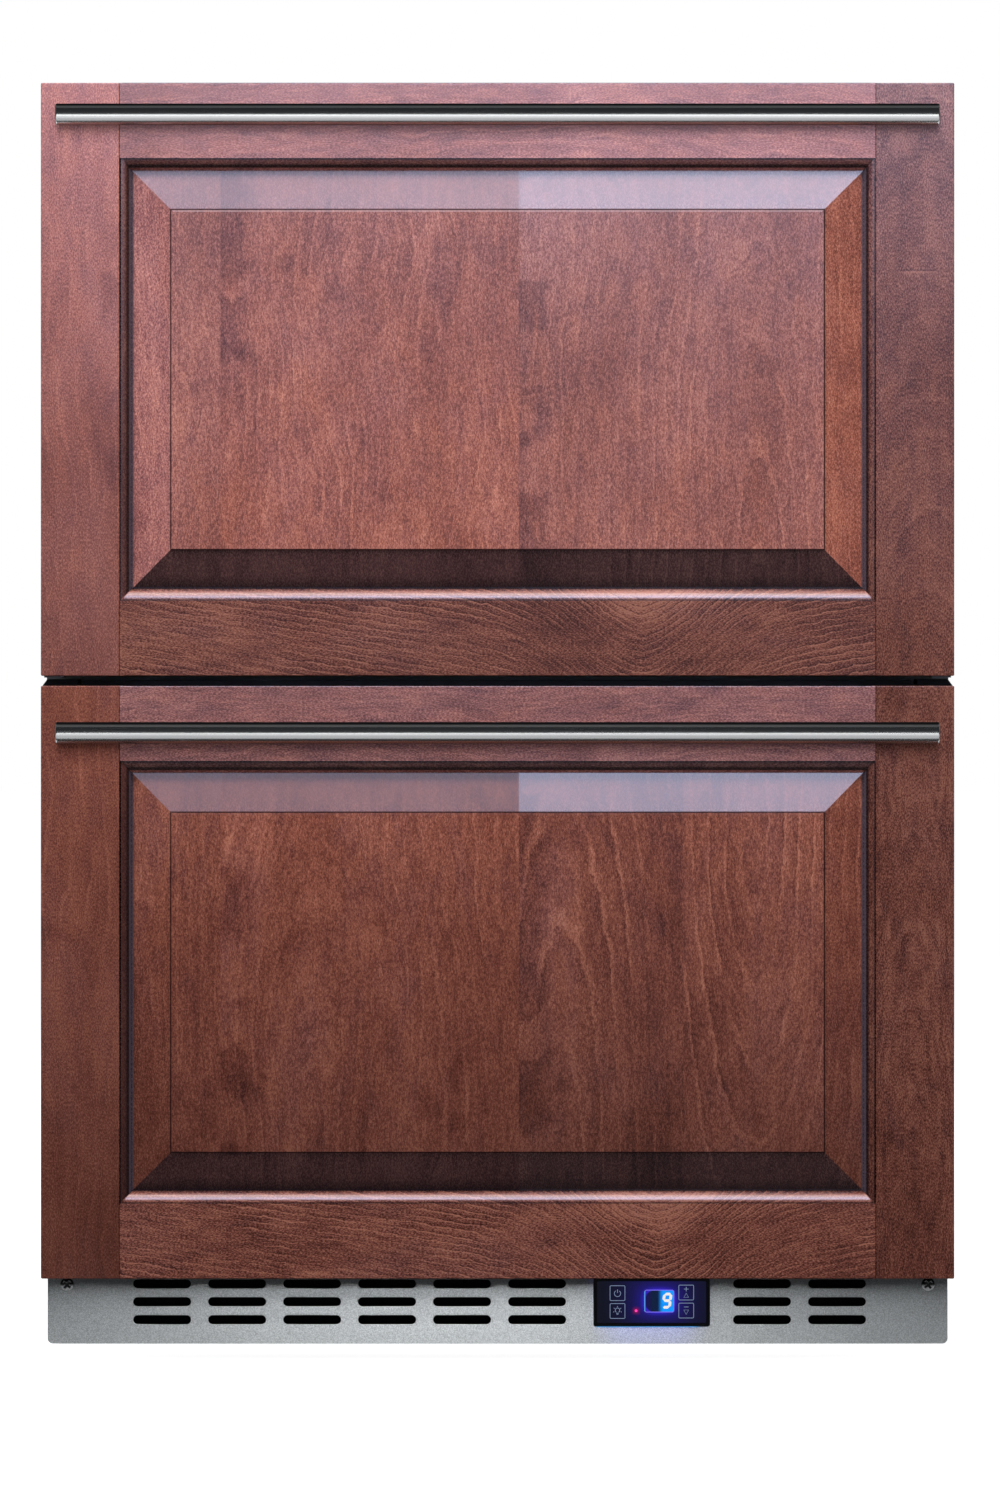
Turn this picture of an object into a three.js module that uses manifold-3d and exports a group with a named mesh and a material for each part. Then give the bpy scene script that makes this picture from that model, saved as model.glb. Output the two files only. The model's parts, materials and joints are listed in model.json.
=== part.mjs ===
// Undercounter drawer refrigerator with two wooden drawer fronts, bar handles and a slotted toe kick.
// Millimetres, +Z up. The fronts face -Y, and the origin is on the floor under the middle of the object.

import * as THREE from 'three';
import Module from 'manifold-3d';
import { mergeVertices } from 'three/addons/utils/BufferGeometryUtils.js';

const wasm = await Module();
wasm.setup();

// ---------------------------------------------------------------------------------------------
// Driving dimensions
// ---------------------------------------------------------------------------------------------

// Fits
const clearance = 0.3; // between pieces that touch or slip into each other
const seam = 0.1; // between the stiles and the rails
const lap = 1; // how far the joined parts of one piece run into each other
const past = 1; // how far a cutter runs beyond what it cuts

// Cabinet
const cabinetWidth = 600;
const cabinetDepth = 545; // face frame to rear panel
const cabinetFloor = 68; // underside of the insulated box
const topReveal = 2; // the cabinet's top over the upper panel's top edge
const sheet = 1; // outer steel sheet
const faceFrameThickness = 3;
const sideInsulation = 42;
const rearInsulation = 45;
const ceilingThickness = 43; // cabinet top down to the upper liner's ceiling
const floorThickness = 36; // cabinet floor up to the lower liner's floor
const mullionHeight = 50; // between the two liners' insides
const liner = 2;
const windowRadius = 8;

// Machine space at the bottom of the back
const machineDepth = 190;
const machineTop = 262;
const stepInsulation = 40;
const coverRecess = 11; // the machine cover's back sits this far in from the rear panel

// Base pan and levelling feet
const basePanHeight = 12; // underside over the floor
const basePanSheet = 1.2;
const basePanFlange = 16;
const footPadRadius = 16;
const footPadHeight = 8;
const footPadChamfer = 4;
const footStemRadius = 5;
const footStemTop = 36;
const footBossRadius = 9;
const footBossHeight = 9;
const footInset = 50; // from the cabinet's side
const frontFootSetback = 90; // behind the toe kick
const rearFootSetback = 60; // in front of the rear panel

// Drawer fronts
const panelBottom = 55.5; // lower panel's bottom edge over the floor
const panelHeight = 389.5;
const panelGap = 6.5;
const panelThickness = 19;
const stileFlat = 51.7; // flat face of a stile
const railFlat = 49.4; // flat face of a rail
const quirk = 0.8; // small step beside the flat
const quirkDepth = 1;
const stickingRadius = 7.1; // quarter round inside the frame
const stickingLip = 0.3; // from the quarter round down to the panel's groove
const grooveWidth = 5.6;
const grooveDepth = 9;
const bevelWidth = 25.8;
const fieldDepth = 0.5; // raised field, from the face
const shoulder = 1; // step down from the field to the bevel

// Handles
const handleDiameter = 14;
const handleEndInset = 11.5; // bar's end to the panel's side
const handleStandoff = 33; // bar centre to panel face
const handleRim = 1.2; // rounding of the bar's ends
const postDiameter = 9;
const postInset = 64.5; // bar's end to post
const upperHandleDrop = 23; // panel's top edge to bar centre
const lowerHandleDrop = 30.5;

// Steel drawer fronts behind the panels, with their top caps and gaskets
const shellInset = 1; // steel front's side to the wooden front's side
const shellThickness = 36;
const cornerTabWidth = 12;
const cornerTabHeight = 2.7;
const upperShellDrop = 1.2; // corner tabs below the panel's bottom edge
const lowerShellDrop = -4;
const capHeight = 7.8;
const capOverhang = 1; // cap's ends beyond the steel front's sides
const capEndLength = 23.6;
const capNotch = 3.3;
const capNotchDepth = 3;
const capStripDrop = 0.6;
const capChamferWidth = 3;
const capChamferHeight = 4;
const upperCapRise = -1; // cap's top over the panel's top edge
const frontGap = 1.2; // lower drawer's cap to the upper drawer's steel front
const gasketThickness = 10.1;
const gasketWidth = 14;
const gasketInset = 14; // gasket's outer edge, in from the shell's sides
const gasketLap = 4; // how far the gasket's inner edge keeps outside the cabinet's window
const gasketRadius = 12;

// Telescopic slides and bins
const slideRearGap = 38.7; // slide's end to the evaporator cover
const slideHeight = 45;
const slideSheet = 1.2;
const slideBallRoom = 1.6; // between one member's lip and the next
const slideFront = 3; // behind the face frame
const outerLip = 9.6; // from the liner's wall, inwards
const slideWebGap = 1.5; // outer member's web to the middle member's web
const slideLipStep = 1; // the middle member's lips beyond the outer member's
const slideSideGap = 0.9; // middle member's lips to the inner member's web
const innerLipGap = 1.8; // middle member's web to the inner member's lips
const upperSlideHeight = 205; // slide centre over its compartment's floor
const lowerSlideHeight = 42; // slide centre over the step in the lower liner
const crossBarDepth = 14;
const crossBarHeight = 24;
const mountTab = 40;
const binWall = 2.5;
const binSideGap = 3.3; // inner slide member to bin wall
const binFrontGap = 4; // steel front to bin
const binFloorGap = 8;
const binRearGap = 2.5; // bin to cross bar
const binRim = 2;
const binStepGap = 13; // deep part of the lower bin to the step in the liner
const binGripWidth = 90; // hand notch in the back wall
const binGripDrop = 18;

// Toe kick
const toeSetback = 9; // behind the face frame
const toeBottom = 6;
const toeTopGap = 1.5;
const toeThickness = 1.5;
const toeCornerRadius = 3.5;
const toeHem = 12;
const toeHemInset = 5;
const slotLength = 38.5;
const slotHeight = 6;
const slotPitch = 50;
const firstSlotInset = 76.3; // toe kick's left end to the first slot's middle
const slotSideMargin = 54; // least room between a slot and the toe kick's right end
const slotRows = 3;
const slotRowPitch = 12;
const firstSlotRow = 16; // over the toe kick's bottom edge
const screwInset = 13; // from the toe kick's end
const screwHeight = 39.5;
const screwHeadRadius = 4.55;
const screwHeadHeight = 2.4;
const screwShankRadius = 2;
const screwLength = 12;
const crossWidth = 1.1;
const crossLength = 4.8;
const crossDepth = 1.5;

// Control module in the toe kick
const controlCentre = 102.6;
const controlBottom = 11.7; // over the toe kick's bottom edge
const controlWidth = 77.5;
const controlHeight = 32.4;
const controlRadius = 1.5;
const controlBorder = 2;
const controlProud = 2.4;
const controlBodyInset = 3;
const controlBodyDepth = 20;
const lensThickness = 1;
const lensSunk = 0.3;
const controlWall = 1.5;
const boardThickness = 1.6;
const boardSetback = 8;

// Cooling machinery
const compressorRadius = 64;
const compressorHeight = 150;
const compressorFootGap = 1; // compressor's plate to the rear right foot's boss
const compressorPlate = 3;
const compressorPlateWidth = 180;
const compressorPlateDepth = 110;
const stubLength = 30;
const grommetHeight = 12;
const grommetRadius = 9;
const grommetInset = 10.8; // from the plate's edges
const coilTube = 3;
const coilHeadroom = 20; // under the machine space's ceiling
const coilPitch = 24;
const coilRun = 110;
const coilX = -110;
const coilBottom = 62;
const strapWidth = 12;
const condenserFanRadius = 62;
const condenserFanHeight = 138;
const evaporatorFanRadius = 49;
const fanTipGap = 3;
const fanHubRadius = 16;
const fanHubLength = 14;
const fanBlades = 5;
const bladeChord = 22;
const bladeThickness = 1.6;
const bladePitch = Math.PI / 6;
const ringWall = 2.5;
const ringLength = 22;
const strutWidth = 5;
const motorRadius = 18;
const motorLength = 14;
const shroudX = -20;
const evaporatorRoom = 52; // behind the evaporator cover
const evaporatorFanDrop = 80; // under the upper liner's ceiling
const evaporatorWidth = 380;
const evaporatorFanGap = 32.25; // coil's top to the fan's ring
const evaporatorRise = 30;
const evaporatorPasses = 4;
const finCount = 6;
const finThickness = 1.2;
const finDepth = 30;
const drainPanHeight = 26;
const drainPanWall = 1.5;
const lampLength = 300;
const lampDepth = 16;
const lampHeight = 8;
const lampTaper = 3;
const inletInset = 60; // from the cabinet's left side
const inletHeight = 60;
const inletBore = 3.5;
const inletBarrel = 9.8;
const inletFlange = 14;
const inletFlangeHeight = 2.5;
const inletNose = 6;
const inletNoseTaper = 1;
const inletNoseLength = 7.5;
const inletBarrelLength = 10;
const louvreBottom = 60;
const louvreLength = 130;
const louvreRows = 7;
const louvrePitch = 24;
const louvreLeft = -70;
const louvreRight = 140;
const returnSlots = 7;

// ---------------------------------------------------------------------------------------------
// Places worked out from the driving dimensions
// ---------------------------------------------------------------------------------------------

const halfWidth = cabinetWidth / 2;
const shellSide = halfWidth - shellInset;
const capSide = shellSide + capOverhang;
const handleLength = cabinetWidth - 2 * handleEndInset;
const screwSide = halfWidth - screwInset;
const firstSlot = firstSlotInset - halfWidth;
const lastSlot = halfWidth - slotSideMargin - slotLength / 2;
const inletX = inletInset - halfWidth;
const compressorX = halfWidth - footInset - footBossRadius - compressorFootGap - compressorPlateWidth / 2;
const shellFront = panelThickness + clearance; // depths behind the panel's face
const shellBack = shellFront + shellThickness;
const gasketFront = shellBack + clearance;
const faceDepth = gasketFront + gasketThickness + clearance;
const grooveFront = quirkDepth + stickingRadius + stickingLip; // panel groove, from the face
const handleReach = handleStandoff + handleDiameter / 2;
const overallDepth = handleReach + faceDepth + cabinetDepth;

const panelFace = handleReach - overallDepth / 2;
const frameFront = panelFace + faceDepth;
const frameBack = frameFront + faceFrameThickness;
const boxFront = frameBack + clearance;
const rear = overallDepth / 2;
const rearInside = rear - sheet - clearance;
const toeFront = frameFront + toeSetback;
const toeBack = toeFront + toeThickness;
const machineFront = rear - machineDepth;
const coverBack = rear - coverRecess;
const coverFront = coverBack - sheet;

const upperPanelBottom = panelBottom + panelHeight + panelGap;
const cabinetTop = upperPanelBottom + panelHeight + topReveal;
const topInside = cabinetTop - sheet - clearance;
const split = upperPanelBottom - panelGap / 2;
const sideInside = halfWidth - sheet - clearance;
const windowSide = halfWidth - sheet - sideInsulation - liner;
const upperFloor = split + mullionHeight / 2;
const upperCeiling = cabinetTop - ceilingThickness;
const lowerFloor = cabinetFloor + floorThickness;
const lowerCeiling = split - mullionHeight / 2;
const lowerCapRise = panelGap - upperShellDrop - frontGap;
const linerBack = rearInside - rearInsulation;
const stepFront = machineFront - clearance - stepInsulation;
const stepTop = machineTop + clearance + stepInsulation;
const basePanTop = basePanHeight + basePanSheet;
const toeTop = cabinetFloor - toeTopGap;
const evaporatorCoverFront = linerBack - liner - evaporatorRoom;
const evaporatorFanZ = upperCeiling - evaporatorFanDrop;
const evaporatorLow = upperFloor + evaporatorRise;
const evaporatorRing = evaporatorFanRadius + fanTipGap + ringWall;
const evaporatorHeight = evaporatorFanZ - evaporatorRing - evaporatorFanGap - evaporatorLow;
const machineMiddle = (machineFront + coverFront) / 2;
const coilPasses = Math.floor((machineTop - coilHeadroom - coilBottom) / coilPitch) + 1;

const slideStart = frameBack + slideFront;
const slideEnd = evaporatorCoverFront - slideRearGap;
const upperSlide = upperFloor + upperSlideHeight;
const lowerSlide = stepTop + liner + lowerSlideHeight;
const middleHeight = slideHeight - 2 * (slideSheet + slideBallRoom);
const innerHeight = middleHeight - 2 * (slideSheet + slideBallRoom);
const middleWeb = clearance + slideSheet + slideWebGap;
const middleLip = outerLip + slideLipStep;
const innerWeb = middleLip + slideSideGap;
const innerLip = middleWeb + slideSheet + innerLipGap;
const drawerBack = panelFace + shellBack + clearance;

// ---------------------------------------------------------------------------------------------
// Finishes
// ---------------------------------------------------------------------------------------------

const WOOD = { color: 0x8b5349, roughness: 0.38, metalness: 0 };
const BRUSHED_STEEL = { color: 0xb4b7ba, roughness: 0.32, metalness: 1 };
const PAINTED_STEEL = { color: 0x3a3d40, roughness: 0.5, metalness: 0.4 };
const GALVANISED = { color: 0x9ba1a4, roughness: 0.5, metalness: 0.8 };
const CAP_PLASTIC = { color: 0x4d5254, roughness: 0.55, metalness: 0 };
const DARK_PLASTIC = { color: 0x17181a, roughness: 0.45, metalness: 0 };
const WHITE_PLASTIC = { color: 0xe6e8e8, roughness: 0.4, metalness: 0 };
const SMOKED_WINDOW = { color: 0x14182b, roughness: 0.12, metalness: 0 };
const FOAM = { color: 0xd9c995, roughness: 0.9, metalness: 0 };
const RUBBER = { color: 0x2a2b2c, roughness: 0.75, metalness: 0 };
const COPPER = { color: 0xb0693e, roughness: 0.35, metalness: 1 };
const ALUMINIUM = { color: 0xc2c5c7, roughness: 0.4, metalness: 1 };
const BOARD_GREEN = { color: 0x1f5b3a, roughness: 0.5, metalness: 0 };

// ---------------------------------------------------------------------------------------------
// Geometry helpers
// ---------------------------------------------------------------------------------------------

function solidOf(geometry) {
  const bare = geometry.clone();
  bare.deleteAttribute('normal');
  bare.deleteAttribute('uv');
  const merged = mergeVertices(bare, 1e-4);
  return new wasm.Manifold(new wasm.Mesh({
    numProp: 3,
    vertProperties: new Float32Array(merged.attributes.position.array),
    triVerts: new Uint32Array(merged.index.array),
  }));
}

function geometryOf(solid) {
  const mesh = solid.getMesh();
  const geometry = new THREE.BufferGeometry();
  geometry.setAttribute('position', new THREE.BufferAttribute(mesh.vertProperties, 3));
  geometry.setIndex(new THREE.BufferAttribute(mesh.triVerts, 1));
  return geometry;
}

function join(...parts) {
  return geometryOf(parts.map(solidOf).reduce((whole, part) => whole.add(part)));
}

function cut(body, ...tools) {
  return geometryOf(tools.map(solidOf).reduce((whole, tool) => whole.subtract(tool), solidOf(body)));
}

function trimTo(body, envelope) {
  return geometryOf(solidOf(body).intersect(solidOf(envelope)));
}

// A box from its [low, high] pairs along X, Y and Z.
function block(x, y, z) {
  const geometry = new THREE.BoxGeometry(x[1] - x[0], y[1] - y[0], z[1] - z[0]);
  geometry.translate((x[0] + x[1]) / 2, (y[0] + y[1]) / 2, (z[0] + z[1]) / 2);
  return geometry;
}

// The same pair on the left (-1) or the right (+1) side.
function onSide(side, near, far) {
  return side > 0 ? [near, far] : [-far, -near];
}

// A round bar along an axis, centred on the other two coordinates.
function rod(axis, radius, low, high, first, second, sides = 24) {
  const geometry = new THREE.CylinderGeometry(radius, radius, high - low, sides);
  const middle = (low + high) / 2;
  if (axis === 'x') {
    geometry.rotateZ(-Math.PI / 2);
    geometry.translate(middle, first, second);
  } else if (axis === 'y') {
    geometry.translate(first, middle, second);
  } else {
    geometry.rotateX(Math.PI / 2);
    geometry.translate(first, second, middle);
  }
  return geometry;
}

const AXIS = {
  x: new THREE.Vector3(1, 0, 0),
  y: new THREE.Vector3(0, 1, 0),
  z: new THREE.Vector3(0, 0, 1),
};

// An outline pushed along an axis: (y, z) along X, (x, z) along Y or (x, y) along Z.
function extrude(axis, shape, low, high, curveSegments = 2) {
  const settings = { depth: high - low, bevelEnabled: false, curveSegments };
  const geometry = new THREE.ExtrudeGeometry(shape, settings);
  const turn = new THREE.Matrix4();
  if (axis === 'x') {
    turn.makeBasis(AXIS.y, AXIS.z, AXIS.x);
  } else if (axis === 'y') {
    turn.makeBasis(AXIS.x, AXIS.z, AXIS.y.clone().negate());
  }
  geometry.applyMatrix4(turn);
  const start = axis === 'y' ? high : low;
  geometry.translate(...AXIS[axis].clone().multiplyScalar(start).toArray());
  return geometry;
}

function outline(points) {
  return new THREE.Shape(points.map(([a, b]) => new THREE.Vector2(a, b)));
}

// A rectangle drawn onto a shape or a hole, whose bottom and top corners have their own radii.
function drawRectangle(path, left, right, bottom, top, bottomRadius, topRadius) {
  path.moveTo(left + bottomRadius, bottom);
  path.lineTo(right - bottomRadius, bottom);
  if (bottomRadius > 0) {
    path.absarc(right - bottomRadius, bottom + bottomRadius, bottomRadius, -Math.PI / 2, 0);
  }
  path.lineTo(right, top - topRadius);
  if (topRadius > 0) {
    path.absarc(right - topRadius, top - topRadius, topRadius, 0, Math.PI / 2);
  }
  path.lineTo(left + topRadius, top);
  if (topRadius > 0) {
    path.absarc(left + topRadius, top - topRadius, topRadius, Math.PI / 2, Math.PI);
  }
  path.lineTo(left, bottom + bottomRadius);
  if (bottomRadius > 0) {
    path.absarc(left + bottomRadius, bottom + bottomRadius, bottomRadius, Math.PI, 1.5 * Math.PI);
  }
  return path;
}

function roundedRectangle(left, right, bottom, top, bottomRadius, topRadius = bottomRadius) {
  return drawRectangle(new THREE.Shape(), left, right, bottom, top, bottomRadius, topRadius);
}

function roundedHole(left, right, bottom, top, radius) {
  return drawRectangle(new THREE.Path(), left, right, bottom, top, radius, radius);
}

function slotHole(centreX, centreZ, length, height) {
  const left = centreX - length / 2;
  return roundedHole(left, left + length, centreZ - height / 2, centreZ + height / 2, height / 2 - 0.01);
}

function roundHole(x, z, radius, sides = 24) {
  const points = [];
  for (let step = 0; step < sides; step += 1) {
    const angle = (step / sides) * 2 * Math.PI;
    points.push(new THREE.Vector2(x + radius * Math.cos(angle), z + radius * Math.sin(angle)));
  }
  return new THREE.Path(points);
}

function lathe(points, segments = 24) {
  return new THREE.LatheGeometry(points.map(([r, h]) => new THREE.Vector2(r, h)), segments);
}

const refrigerator = new THREE.Group();

function addPiece(parent, name, geometry, finish, position = [0, 0, 0], rotation = [0, 0, 0]) {
  const mesh = new THREE.Mesh(geometry, new THREE.MeshStandardMaterial(finish));
  mesh.name = name;
  mesh.position.set(...position);
  mesh.rotation.set(...rotation);
  parent.add(mesh);
}

// ---------------------------------------------------------------------------------------------
// Cabinet
// ---------------------------------------------------------------------------------------------

// Steel side, notched at the front for the toe kick.
function sidePanel(side) {
  const profile = outline([
    [toeBack + clearance, basePanHeight],
    [rear, basePanHeight],
    [rear, topInside],
    [boxFront, topInside],
    [boxFront, cabinetFloor],
    [toeBack + clearance, cabinetFloor],
  ]);
  return extrude('x', profile, ...onSide(side, halfWidth - sheet, halfWidth));
}

function topPanel() {
  return block([-halfWidth, halfWidth], [boxFront, rear], [cabinetTop - sheet, cabinetTop]);
}

function rearPanel() {
  return block([-sideInside, sideInside], [rear - sheet, rear], [machineTop, topInside]);
}

// The front flange round both compartments, with the mullion between them.
function faceFrame() {
  const frame = roundedRectangle(-halfWidth, halfWidth, cabinetFloor, cabinetTop, 0);
  frame.holes.push(roundedHole(-windowSide, windowSide, upperFloor, upperCeiling, windowRadius));
  frame.holes.push(roundedHole(-windowSide, windowSide, lowerFloor, lowerCeiling, windowRadius));
  return extrude('y', frame, frameFront, frameBack);
}

// The lower compartment's side outline, with its floor stepped over the machine space.
function lowerCompartment(growth, front) {
  return outline([
    [front, lowerFloor - growth],
    [stepFront - liner + growth, lowerFloor - growth],
    [stepFront - liner + growth, stepTop + liner - growth],
    [linerBack - liner + growth, stepTop + liner - growth],
    [linerBack - liner + growth, lowerCeiling + growth],
    [front, lowerCeiling + growth],
  ]);
}

function upperCompartment(growth, front) {
  return outline([
    [front, upperFloor - growth],
    [linerBack - liner + growth, upperFloor - growth],
    [linerBack - liner + growth, upperCeiling + growth],
    [front, upperCeiling + growth],
  ]);
}

function insulation() {
  const body = block([-sideInside, sideInside], [boxFront, rearInside], [cabinetFloor, topInside]);
  const reach = windowSide + liner + clearance;
  const growth = liner + clearance;
  return cut(
    body,
    block([-halfWidth, halfWidth], [machineFront, rear], [0, machineTop]),
    extrude('x', upperCompartment(growth, boxFront - past), -reach, reach),
    extrude('x', lowerCompartment(growth, boxFront - past), -reach, reach),
  );
}

// A moulded tub open at the front.
function linerTub(compartment) {
  const reach = windowSide + liner;
  return cut(
    extrude('x', compartment(liner, boxFront), -reach, reach),
    extrude('x', compartment(0, boxFront - past), -windowSide, windowSide),
  );
}

const footPlaces = {
  front_left_foot: [-(halfWidth - footInset), toeFront + frontFootSetback],
  front_right_foot: [halfWidth - footInset, toeFront + frontFootSetback],
  rear_left_foot: [-(halfWidth - footInset), rear - rearFootSetback],
  rear_right_foot: [halfWidth - footInset, rear - rearFootSetback],
};

// The floor of the machine space: a tray with threaded bosses and two posts for the toe kick's screws.
function basePan() {
  const front = toeBack + clearance;
  const back = coverFront - clearance;
  const parts = [block([-sideInside, sideInside], [front, back], [basePanHeight, basePanTop])];
  for (const side of [-1, 1]) {
    parts.push(block(
      onSide(side, sideInside - basePanSheet, sideInside),
      [front, back],
      [basePanHeight, basePanTop + basePanFlange],
    ));
    parts.push(block(
      onSide(side, screwSide - footBossRadius, screwSide + footBossRadius),
      [front, front + basePanSheet],
      [basePanHeight, toeBottom + screwHeight + footBossRadius],
    ));
  }
  for (const [x, y] of Object.values(footPlaces)) {
    parts.push(rod('z', footBossRadius, basePanHeight, basePanTop + footBossHeight, x, y, 16));
  }
  const stemHoles = Object.values(footPlaces).map(([x, y]) => (
    rod('z', footStemRadius + clearance, 0, footStemTop, x, y, 16)
  ));
  const screwHole = [screwShankRadius + clearance, front - past, front + screwLength];
  const screwHoles = [-1, 1].map((side) => (
    rod('y', ...screwHole, side * screwSide, toeBottom + screwHeight, 12)
  ));
  return cut(join(...parts), ...stemHoles, ...screwHoles);
}

function levellingFoot() {
  const foot = lathe([
    [0, 0],
    [footPadRadius, 0],
    [footPadRadius, footPadHeight - footPadChamfer],
    [footPadRadius - footPadChamfer, footPadHeight],
    [footStemRadius, footPadHeight],
    [footStemRadius, footStemTop],
    [0, footStemTop],
  ], 16);
  foot.rotateX(Math.PI / 2);
  return foot;
}

// ---------------------------------------------------------------------------------------------
// Toe kick and control module
// ---------------------------------------------------------------------------------------------

const controlLeft = controlCentre - controlWidth / 2;
const controlLow = toeBottom + controlBottom;

function toeKick() {
  const plate = roundedRectangle(-halfWidth, halfWidth, toeBottom, toeTop, toeCornerRadius, 0);
  const reach = (controlWidth + slotLength) / 2;
  for (let x = firstSlot; x <= lastSlot; x += slotPitch) {
    if (Math.abs(x - controlCentre) > reach) {
      for (let row = 0; row < slotRows; row += 1) {
        const z = toeBottom + firstSlotRow + row * slotRowPitch;
        plate.holes.push(slotHole(x, z, slotLength, slotHeight));
      }
    }
  }
  const inset = controlBodyInset - clearance;
  plate.holes.push(roundedHole(
    controlLeft + inset,
    controlLeft + controlWidth - inset,
    controlLow + inset,
    controlLow + controlHeight - inset,
    controlRadius,
  ));
  for (const side of [-1, 1]) {
    plate.holes.push(roundHole(side * screwSide, toeBottom + screwHeight, screwShankRadius + clearance, 12));
  }
  const hem = block(
    [toeHemInset - halfWidth, halfWidth - toeHemInset],
    [toeFront + toeThickness / 2, toeFront + toeHem],
    [toeBottom, toeBottom + toeThickness],
  );
  return join(extrude('y', plate, toeFront, toeBack), hem);
}

// A pan head's curve, in shares of its radius and its height.
const PAN_HEAD = [[0.5, 0.92], [0.86, 0.65], [1, 0.35]];

// A pan-head screw with a cross recess, its head towards -Y and its seat at the origin.
function toeScrew() {
  const body = lathe([
    [0, -screwHeadHeight],
    ...PAN_HEAD.map(([out, up]) => [screwHeadRadius * out, -screwHeadHeight * up]),
    [screwHeadRadius, 0],
    [screwShankRadius, 0],
    [screwShankRadius, screwLength],
    [0, screwLength],
  ], 20);
  const depth = [-screwHeadHeight - past, -screwHeadHeight + crossDepth];
  const wide = [-crossLength / 2, crossLength / 2];
  const thin = [-crossWidth / 2, crossWidth / 2];
  return cut(body, block(wide, depth, thin), block(thin, depth, wide));
}

function controlRect(inset, radius) {
  return roundedRectangle(
    controlLeft + inset,
    controlLeft + controlWidth - inset,
    controlLow + inset,
    controlLow + controlHeight - inset,
    radius,
  );
}

const controlFace = toeFront - controlProud;
const lensBack = controlFace + lensSunk + lensThickness;

// Bezel on the toe kick's face and a hollow body behind it, open at the back.
function controlHousing() {
  const bezelBack = toeFront - clearance / 3;
  const recessBack = lensBack + clearance / 3;
  const bodyBack = toeBack + controlBodyDepth;
  const pocket = controlBodyInset + controlWall;
  return cut(
    join(
      extrude('y', controlRect(0, controlRadius), controlFace, bezelBack),
      extrude('y', controlRect(controlBodyInset, controlRadius), lensBack, bodyBack),
    ),
    extrude('y', controlRect(controlBorder, controlRadius / 2), controlFace - past, recessBack),
    extrude('y', controlRect(pocket, 0), lensBack - past, bodyBack + past),
  );
}

function controlLens() {
  const glass = controlRect(controlBorder + clearance, controlRadius / 2);
  return extrude('y', glass, controlFace + lensSunk, lensBack);
}

function controlBoard() {
  const front = lensBack + boardSetback;
  const board = controlRect(controlBodyInset + controlWall + clearance, 0);
  return extrude('y', board, front, front + boardThickness);
}

// ---------------------------------------------------------------------------------------------
// Wooden drawer front. Local frame: x from the middle, y into the door, z up from the bottom edge.
// ---------------------------------------------------------------------------------------------

// The section of a stile or rail, from the door's edge inwards: flat, quirk, quarter round and groove.
// A grown section cuts the cope in a rail's end.
function frameSection(flat, place, growth = 0) {
  const points = [[0, -growth], [flat, -growth]];
  const centre = [flat + quirk, quirkDepth + stickingRadius];
  const steps = 8;
  if (growth === 0) {
    points.push([flat, quirkDepth]);
  } else {
    points.splice(0, 2, [0, quirkDepth - growth]);
  }
  for (let step = 0; step <= steps; step += 1) {
    const angle = (step / steps) * (Math.PI / 2);
    const radius = stickingRadius + growth;
    points.push([centre[0] + radius * Math.sin(angle), centre[1] - radius * Math.cos(angle)]);
  }
  const edge = centre[0] + stickingRadius + growth;
  points.push([edge, grooveFront + growth]);
  points.push([edge - grooveDepth, grooveFront + growth]);
  points.push([edge - grooveDepth, grooveFront + grooveWidth - growth]);
  points.push([edge, grooveFront + grooveWidth - growth]);
  points.push([edge, panelThickness + growth]);
  points.push([0, panelThickness + growth]);
  return outline(points.map(([across, depth]) => place(across, depth)));
}

function stile(side, growth = 0) {
  const section = frameSection(stileFlat, (across, depth) => [side * (halfWidth - across), depth], growth);
  return extrude('z', section, -growth, panelHeight + growth);
}

// A rail between the stiles' flats, coped over their quarter rounds.
function rail(top) {
  const place = (across, depth) => [depth, top ? panelHeight - across : across];
  const reach = halfWidth - stileFlat - seam;
  const blank = extrude('x', frameSection(railFlat, place), -reach, reach);
  return cut(blank, stile(-1, clearance), stile(1, clearance));
}

const stickingWidth = quirk + stickingRadius;
const tongue = grooveDepth - clearance * 2;

// A board whose four edges are milled to a shoulder, a long bevel and a tongue.
function raisedPanel() {
  const side = halfWidth - stileFlat - stickingWidth + tongue;
  const low = railFlat + stickingWidth - tongue;
  const high = panelHeight - low;
  const tongueFront = grooveFront + clearance;
  const back = grooveFront + grooveWidth - clearance;
  const board = block([-side, side], [fieldDepth, back], [low, high]);
  const margin = tongue + bevelWidth;
  const cutter = [
    [-past, fieldDepth - past],
    [margin, fieldDepth - past],
    [margin, fieldDepth + shoulder],
    [tongue, tongueFront],
    [-past, tongueFront],
  ];
  const run = [-cabinetWidth, cabinetWidth];
  return cut(
    board,
    extrude('z', outline(cutter.map(([across, depth]) => [across - side, depth])), ...run),
    extrude('z', outline(cutter.map(([across, depth]) => [side - across, depth])), ...run),
    extrude('x', outline(cutter.map(([across, depth]) => [depth, low + across])), ...run),
    extrude('x', outline(cutter.map(([across, depth]) => [depth, high - across])), ...run),
  );
}

// A round bar on two posts, its centre at the origin.
function barHandle() {
  const radius = handleDiameter / 2;
  const end = handleLength / 2;
  const bite = handleRim * (1 - Math.SQRT1_2);
  const bar = lathe([
    [0, -end],
    [radius - handleRim, -end],
    [radius - bite, -end + bite],
    [radius, -end + handleRim],
    [radius, end - handleRim],
    [radius - bite, end - bite],
    [radius - handleRim, end],
    [0, end],
  ], 24);
  bar.rotateZ(-Math.PI / 2);
  const posts = [-1, 1].map((side) => (
    rod('y', postDiameter / 2, 0, handleStandoff - clearance, side * (end - postInset), 0, 20)
  ));
  return join(bar, ...posts);
}

// ---------------------------------------------------------------------------------------------
// Steel front, cap and gasket behind each wooden front, in the same local frame
// ---------------------------------------------------------------------------------------------

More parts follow.
